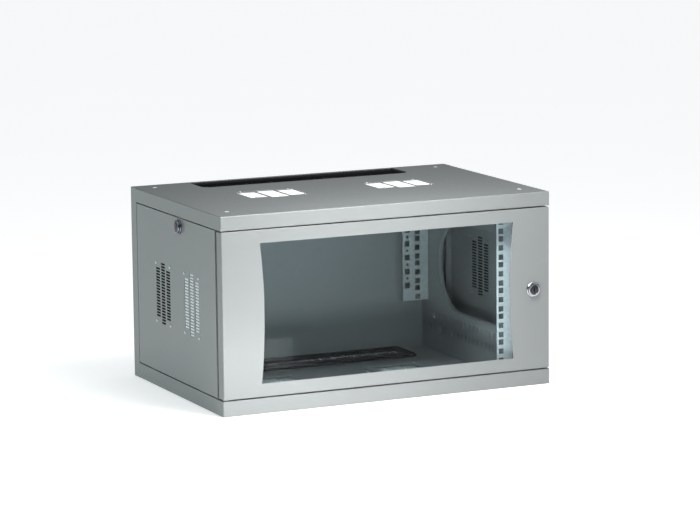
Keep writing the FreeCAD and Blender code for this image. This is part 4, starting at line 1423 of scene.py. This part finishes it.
@dataclass
class Hinge:
    """Lower pin with its nut and bush, and the sprung upper pin with its knob."""

    pin: float = 3.0 * MM
    chamfer: float = 0.5 * MM
    bush_bore: float = 3.05 * MM
    bush_shoulder: float = 1.8 * MM
    bush_flange: float = 1.5 * MM
    bore_lead: float = 0.3 * MM
    edge: float = 0.4 * MM
    door_sheet: float = 1.5 * MM
    bush_gap: float = 0.3 * MM
    bracket_sheet: float = 1.8 * MM
    collar_height: float = 1.5 * MM
    rib_depth: float = 0.35 * MM
    wire: float = 0.45 * MM
    turns: int = 7
    steps_per_turn: int = 20
    travel: float = 10.0 * MM

    def build(self) -> None:
        """Turn the pins and bushes and wind the spring."""
        self.build_lower_pin()
        self.build_lower_bush()
        self.build_upper_bush()
        self.build_nut()
        self.build_upper_pin()
        self.build_knob()
        Pressing(
            "hinge_pin_bracket", ZINC, 1.2 * MM, 0.25 * MM, fold_width=4.0 * MM, fold_length=10.0 * MM
        ).build()
        self.build_spring()

    def stand(self, node: str, name: str, finish: Finish, rings: list[Ring], bored: bool = False) -> None:
        """Put an upright turned body on the underside of its node's box.

        Args:
            node: Name of the node that it stands for.
            name: The piece's name.
            finish: Its finish.
            rings: Outlines with their heights above the underside.
            bored: Whether the body has a bore right through.
        """
        lofted(node, name, finish, rings, foot(*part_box(node)), Direction.UP.vector, bored)

    def build_lower_pin(self) -> None:
        """Turn the fixed pin with its collar."""
        low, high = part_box("lower_hinge_pin")
        collar_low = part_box("bottom_cover")[1].z - low.z
        collar_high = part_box("lower_hinge_bush")[0].z - self.bush_gap - low.z
        collar = (high.x - low.x) / 2
        length = high.z - low.z
        rings = turned(
            (self.pin - self.chamfer, 0.0),
            (self.pin, self.chamfer),
            (self.pin, collar_low),
            (collar, collar_low),
            (collar, collar_high - 0.2 * MM),
            (collar - 0.2 * MM, collar_high),
            (self.pin, collar_high),
            (self.pin, length - 1.2 * MM),
            (self.pin - 1.0 * MM, length),
        )
        self.stand("lower_hinge_pin", "lower_pivot_pin", PLATE, rings)

    def build_lower_bush(self) -> None:
        """Turn the bush whose flange lies inside the door's lower fold."""
        node = "lower_hinge_bush"
        low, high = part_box(node)
        flange = (high.x - low.x) / 2
        sleeve = flange - self.bush_shoulder
        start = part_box("door_frame")[0].z + self.door_sheet - low.z
        height = high.z - low.z
        outside = (
            (sleeve, 0.0),
            (sleeve, start),
            (flange, start),
            (flange, start + self.bush_flange - self.edge),
            (flange - self.edge, start + self.bush_flange),
            (sleeve, start + self.bush_flange),
            (sleeve, height - 0.2 * MM),
            (sleeve - 0.2 * MM, height),
        )
        self.stand(node, "lower_pivot_bush", NYLON, self.bored_rings(outside, height), True)

    def build_upper_bush(self) -> None:
        """Turn the bush whose flange lies on top."""
        node = "upper_hinge_bush"
        low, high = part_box(node)
        flange = (high.x - low.x) / 2
        sleeve = flange - self.bush_shoulder
        height = high.z - low.z
        outside = (
            (sleeve, 0.0),
            (sleeve, height - self.bush_flange),
            (flange, height - self.bush_flange),
            (flange, height - self.edge),
            (flange - self.edge, height),
        )
        self.stand(node, "upper_pivot_bush", NYLON, self.bored_rings(outside, height), True)

    def bored_rings(self, outside: tuple[tuple[float, float], ...], height: float) -> list[Ring]:
        """Rings of a bush, with a lead at both ends of its bore.

        Args:
            outside: Radius and height of each corner of the outside, from the foot up.
            height: The bush's full height.

        Returns:
            The rings, from the bore's foot round to its top.
        """
        mouth = self.bush_bore + self.bore_lead
        bore = self.bush_bore
        return turned((bore, 0.2 * MM), (mouth, 0.0), *outside, (mouth, height), (bore, height - 0.2 * MM))

    def build_nut(self) -> None:
        """Make the nut under the bottom cover's lip."""
        node = "lower_hinge_nut"
        low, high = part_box(node)
        size = high - low
        rings = nut_rings(max(size.x, size.y) / 2, self.pin, size.z)
        self.stand(node, "lower_pivot_nut", PLATE, rings, True)

    def build_upper_pin(self) -> None:
        """Turn the sliding pin with its collar and rounded tip."""
        low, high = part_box("upper_hinge_pin")
        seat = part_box("hinge_pin_bracket")[1].z - self.bracket_sheet - low.z
        collar = (high.x - low.x) / 2
        length = high.z - low.z
        rings = turned(
            (self.pin - self.chamfer, 0.0),
            (self.pin, self.chamfer),
            (self.pin, seat - self.collar_height),
            (collar, seat - self.collar_height),
            (collar, seat),
            (self.pin, seat),
            (self.pin, length - 2.0 * MM),
            (self.pin - 0.5 * MM, length - 0.8 * MM),
            (self.pin - 1.5 * MM, length),
        )
        self.stand("upper_hinge_pin", "upper_pivot_pin", PLATE, rings)

    def build_knob(self) -> None:
        """Mould the ribbed knob that pulls the upper pin down."""
        node = "hinge_pin_knob"
        low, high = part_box(node)
        radius = (high.x - low.x) / 2
        height = high.z - low.z
        ribs = self.rib_depth
        rings = [
            (circle(radius * 0.7), 0.0),
            (knurled(radius * 0.93, ribs * 0.5), 0.5 * MM),
            (knurled(radius, ribs), 1.2 * MM),
            (knurled(radius, ribs), height - 1.2 * MM),
            (knurled(radius * 0.93, ribs * 0.5), height - 0.5 * MM),
            (circle(radius * 0.75), height),
        ]
        self.stand(node, "pull_knob", BLACK, rings)

    def build_spring(self) -> None:
        """Wind the spring with a screw spin and give the piece a mesh of its own."""
        low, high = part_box("hinge_pin_spring")
        middle = (low + high) / 2
        radius = (high.x - low.x) / 2 - self.wire
        height = high.z - low.z - 2 * self.wire
        bm = bmesh.new()
        section = bmesh.ops.create_circle(bm, cap_ends=True, radius=self.wire, segments=8)["verts"]
        stand = Matrix.Rotation(math.pi / 2, 4, "X")
        start = Matrix.Translation((middle.x + radius, middle.y, low.z + self.wire))
        bmesh.ops.transform(bm, matrix=start @ stand, verts=section)
        steps = self.turns * self.steps_per_turn
        bmesh.ops.spin(
            bm,
            geom=[*bm.verts, *bm.edges, *bm.faces],
            cent=(middle.x, middle.y, 0.0),
            axis=(0, 0, 1),
            dvec=(0, 0, height / steps),
            angle=self.turns * math.tau,
            steps=steps,
            use_merge=False,
            use_duplicate=False,
        )
        piece = shown(bm, "latch_spring", SPRING_WIRE, BODY_OF["hinge_pin_spring"], ("hinge_pin_spring",))
        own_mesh(piece)


# ---- Studio ----


@dataclass
class Lamp:
    """A rectangular soft light."""

    name: str
    place: tuple[float, float, float]
    aim: tuple[float, float, float]
    size: tuple[float, float]
    power: float
    colour: Colour = (1.0, 1.0, 1.0)
    mirrored: bool = True

    def build(self) -> None:
        """Hang the lamp and turn it towards its aim."""
        data = bpy.data.lights.new(self.name, "AREA")
        data.shape = "RECTANGLE"
        data.size, data.size_y = self.size
        data.energy = self.power
        data.color = self.colour
        lamp = bpy.data.objects.new(self.name, data)
        lamp.location = self.place
        lamp.rotation_mode = "QUATERNION"
        lamp.rotation_quaternion = (Vector(self.aim) - Vector(self.place)).to_track_quat("-Z", "Y")
        lamp.visible_camera = False
        lamp.visible_glossy = self.mirrored
        bpy.context.scene.collection.objects.link(lamp)


@dataclass
class Studio:
    """Camera, floor, sky and lamps."""

    camera_place: tuple[float, float, float] = (-2.2882, -5.0222, 1.1137)
    yaw: float = 24.694
    pitch: float = 9.354
    roll: float = -0.630
    lens: float = 168.57
    floor_half: float = 40.0
    sky_low: float = 0.0
    sky_high: float = 1.4
    sky_edge: float = 0.5
    lamps: list[Lamp] = field(
        default_factory=lambda: [
            Lamp("key", (-0.22, -0.56, 0.025), (-0.2, 0.0, 0.025), (0.42, 0.04), 2.5, mirrored=False),
            Lamp("fill", (0.1, -1.3, 0.25), (0.1, 0.0, 0.16), (0.5, 0.2), 2.0, mirrored=False),
            Lamp("brow", (-0.03, -0.48, 0.6), (0.0, -0.15, 0.3), (0.35, 0.1), 3.6),
            Lamp("overhead", (0.25, -0.4, 1.2), (0.0, -0.05, 0.33), (1.0, 0.2), 8.5),
            Lamp("cool_wash", (-2.5, 0.4, 0.7), (-0.3, 0.0, 0.16), (1.2, 0.8), 4.5, (0.02, 1.0, 1.0)),
        ]
    )

    def build(self) -> None:
        """Set up everything that isn't part of the object."""
        self.build_camera()
        self.build_floor()
        self.build_sky()
        for lamp in self.lamps:
            lamp.build()
        bpy.context.scene.view_settings.view_transform = "Standard"

    def build_camera(self) -> None:
        """Place the camera from its yaw, pitch and roll."""
        yaw, pitch, roll = (math.radians(angle) for angle in (self.yaw, self.pitch, self.roll))
        ahead = Vector(
            (math.sin(yaw) * math.cos(pitch), math.cos(yaw) * math.cos(pitch), -math.sin(pitch))
        )
        level = Vector((math.cos(yaw), -math.sin(yaw), 0.0))
        upright = level.cross(ahead)
        right = math.cos(roll) * level + math.sin(roll) * upright
        up = -math.sin(roll) * level + math.cos(roll) * upright
        data = bpy.data.cameras.new("camera")
        data.sensor_fit = "HORIZONTAL"
        data.sensor_width = 36.0
        data.lens = self.lens
        data.clip_end = 200.0
        camera = bpy.data.objects.new("camera", data)
        turn = Matrix((right, up, -ahead)).transposed().to_4x4()
        camera.matrix_world = Matrix.Translation(self.camera_place) @ turn
        bpy.context.scene.collection.objects.link(camera)
        bpy.context.scene.camera = camera

    def build_floor(self) -> None:
        """Lay a wide paper floor just under the cabinet."""
        bm = bmesh.new()
        bmesh.ops.create_grid(bm, x_segments=1, y_segments=1, size=self.floor_half)
        mesh = bpy.data.meshes.new("studio_floor")
        bm.to_mesh(mesh)
        bm.free()
        mesh.materials.append(PAPER.made())
        floor = bpy.data.objects.new("studio_floor", mesh)
        bpy.context.scene.collection.objects.link(floor)

    def build_sky(self) -> None:
        """Light from all round, brighter overhead than at the horizon."""
        world = bpy.data.worlds.new("soft_sky")
        world.use_nodes = True
        tree = world.node_tree
        place = tree.nodes.new("ShaderNodeTexCoord")
        split = tree.nodes.new("ShaderNodeSeparateXYZ")
        rise = tree.nodes.new("ShaderNodeMapRange")
        rise.interpolation_type = "SMOOTHSTEP"
        rise.inputs["From Min"].default_value = self.sky_edge
        rise.inputs["From Max"].default_value = 1.0
        rise.inputs["To Min"].default_value = self.sky_low
        rise.inputs["To Max"].default_value = self.sky_high
        tree.links.new(place.outputs["Generated"], split.inputs["Vector"])
        tree.links.new(split.outputs["Z"], rise.inputs["Value"])
        tree.links.new(rise.outputs["Result"], tree.nodes["Background"].inputs["Strength"])
        tree.nodes["Background"].inputs["Color"].default_value = (0.97, 0.985, 1.0, 1.0)
        bpy.context.scene.world = world


def main() -> None:
    """Build the cabinet's sub-assemblies, then the studio."""
    logging.basicConfig(level=logging.INFO, format="%(name)s: %(message)s")
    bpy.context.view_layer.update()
    Shell().build()
    Rails().build()
    for level in ("bottom", "top"):
        CableEntry(level).build()
    Ventilation().build()
    for side in Side:
        SidePanel(side).build()
    Door().build()
    Hinge().build()
    Studio().build()


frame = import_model()
NODES = frame["nodes"]
BODY_OF = {name: node["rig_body"] for name, node in NODES.items()}

if __name__ == "__main__":
    main()
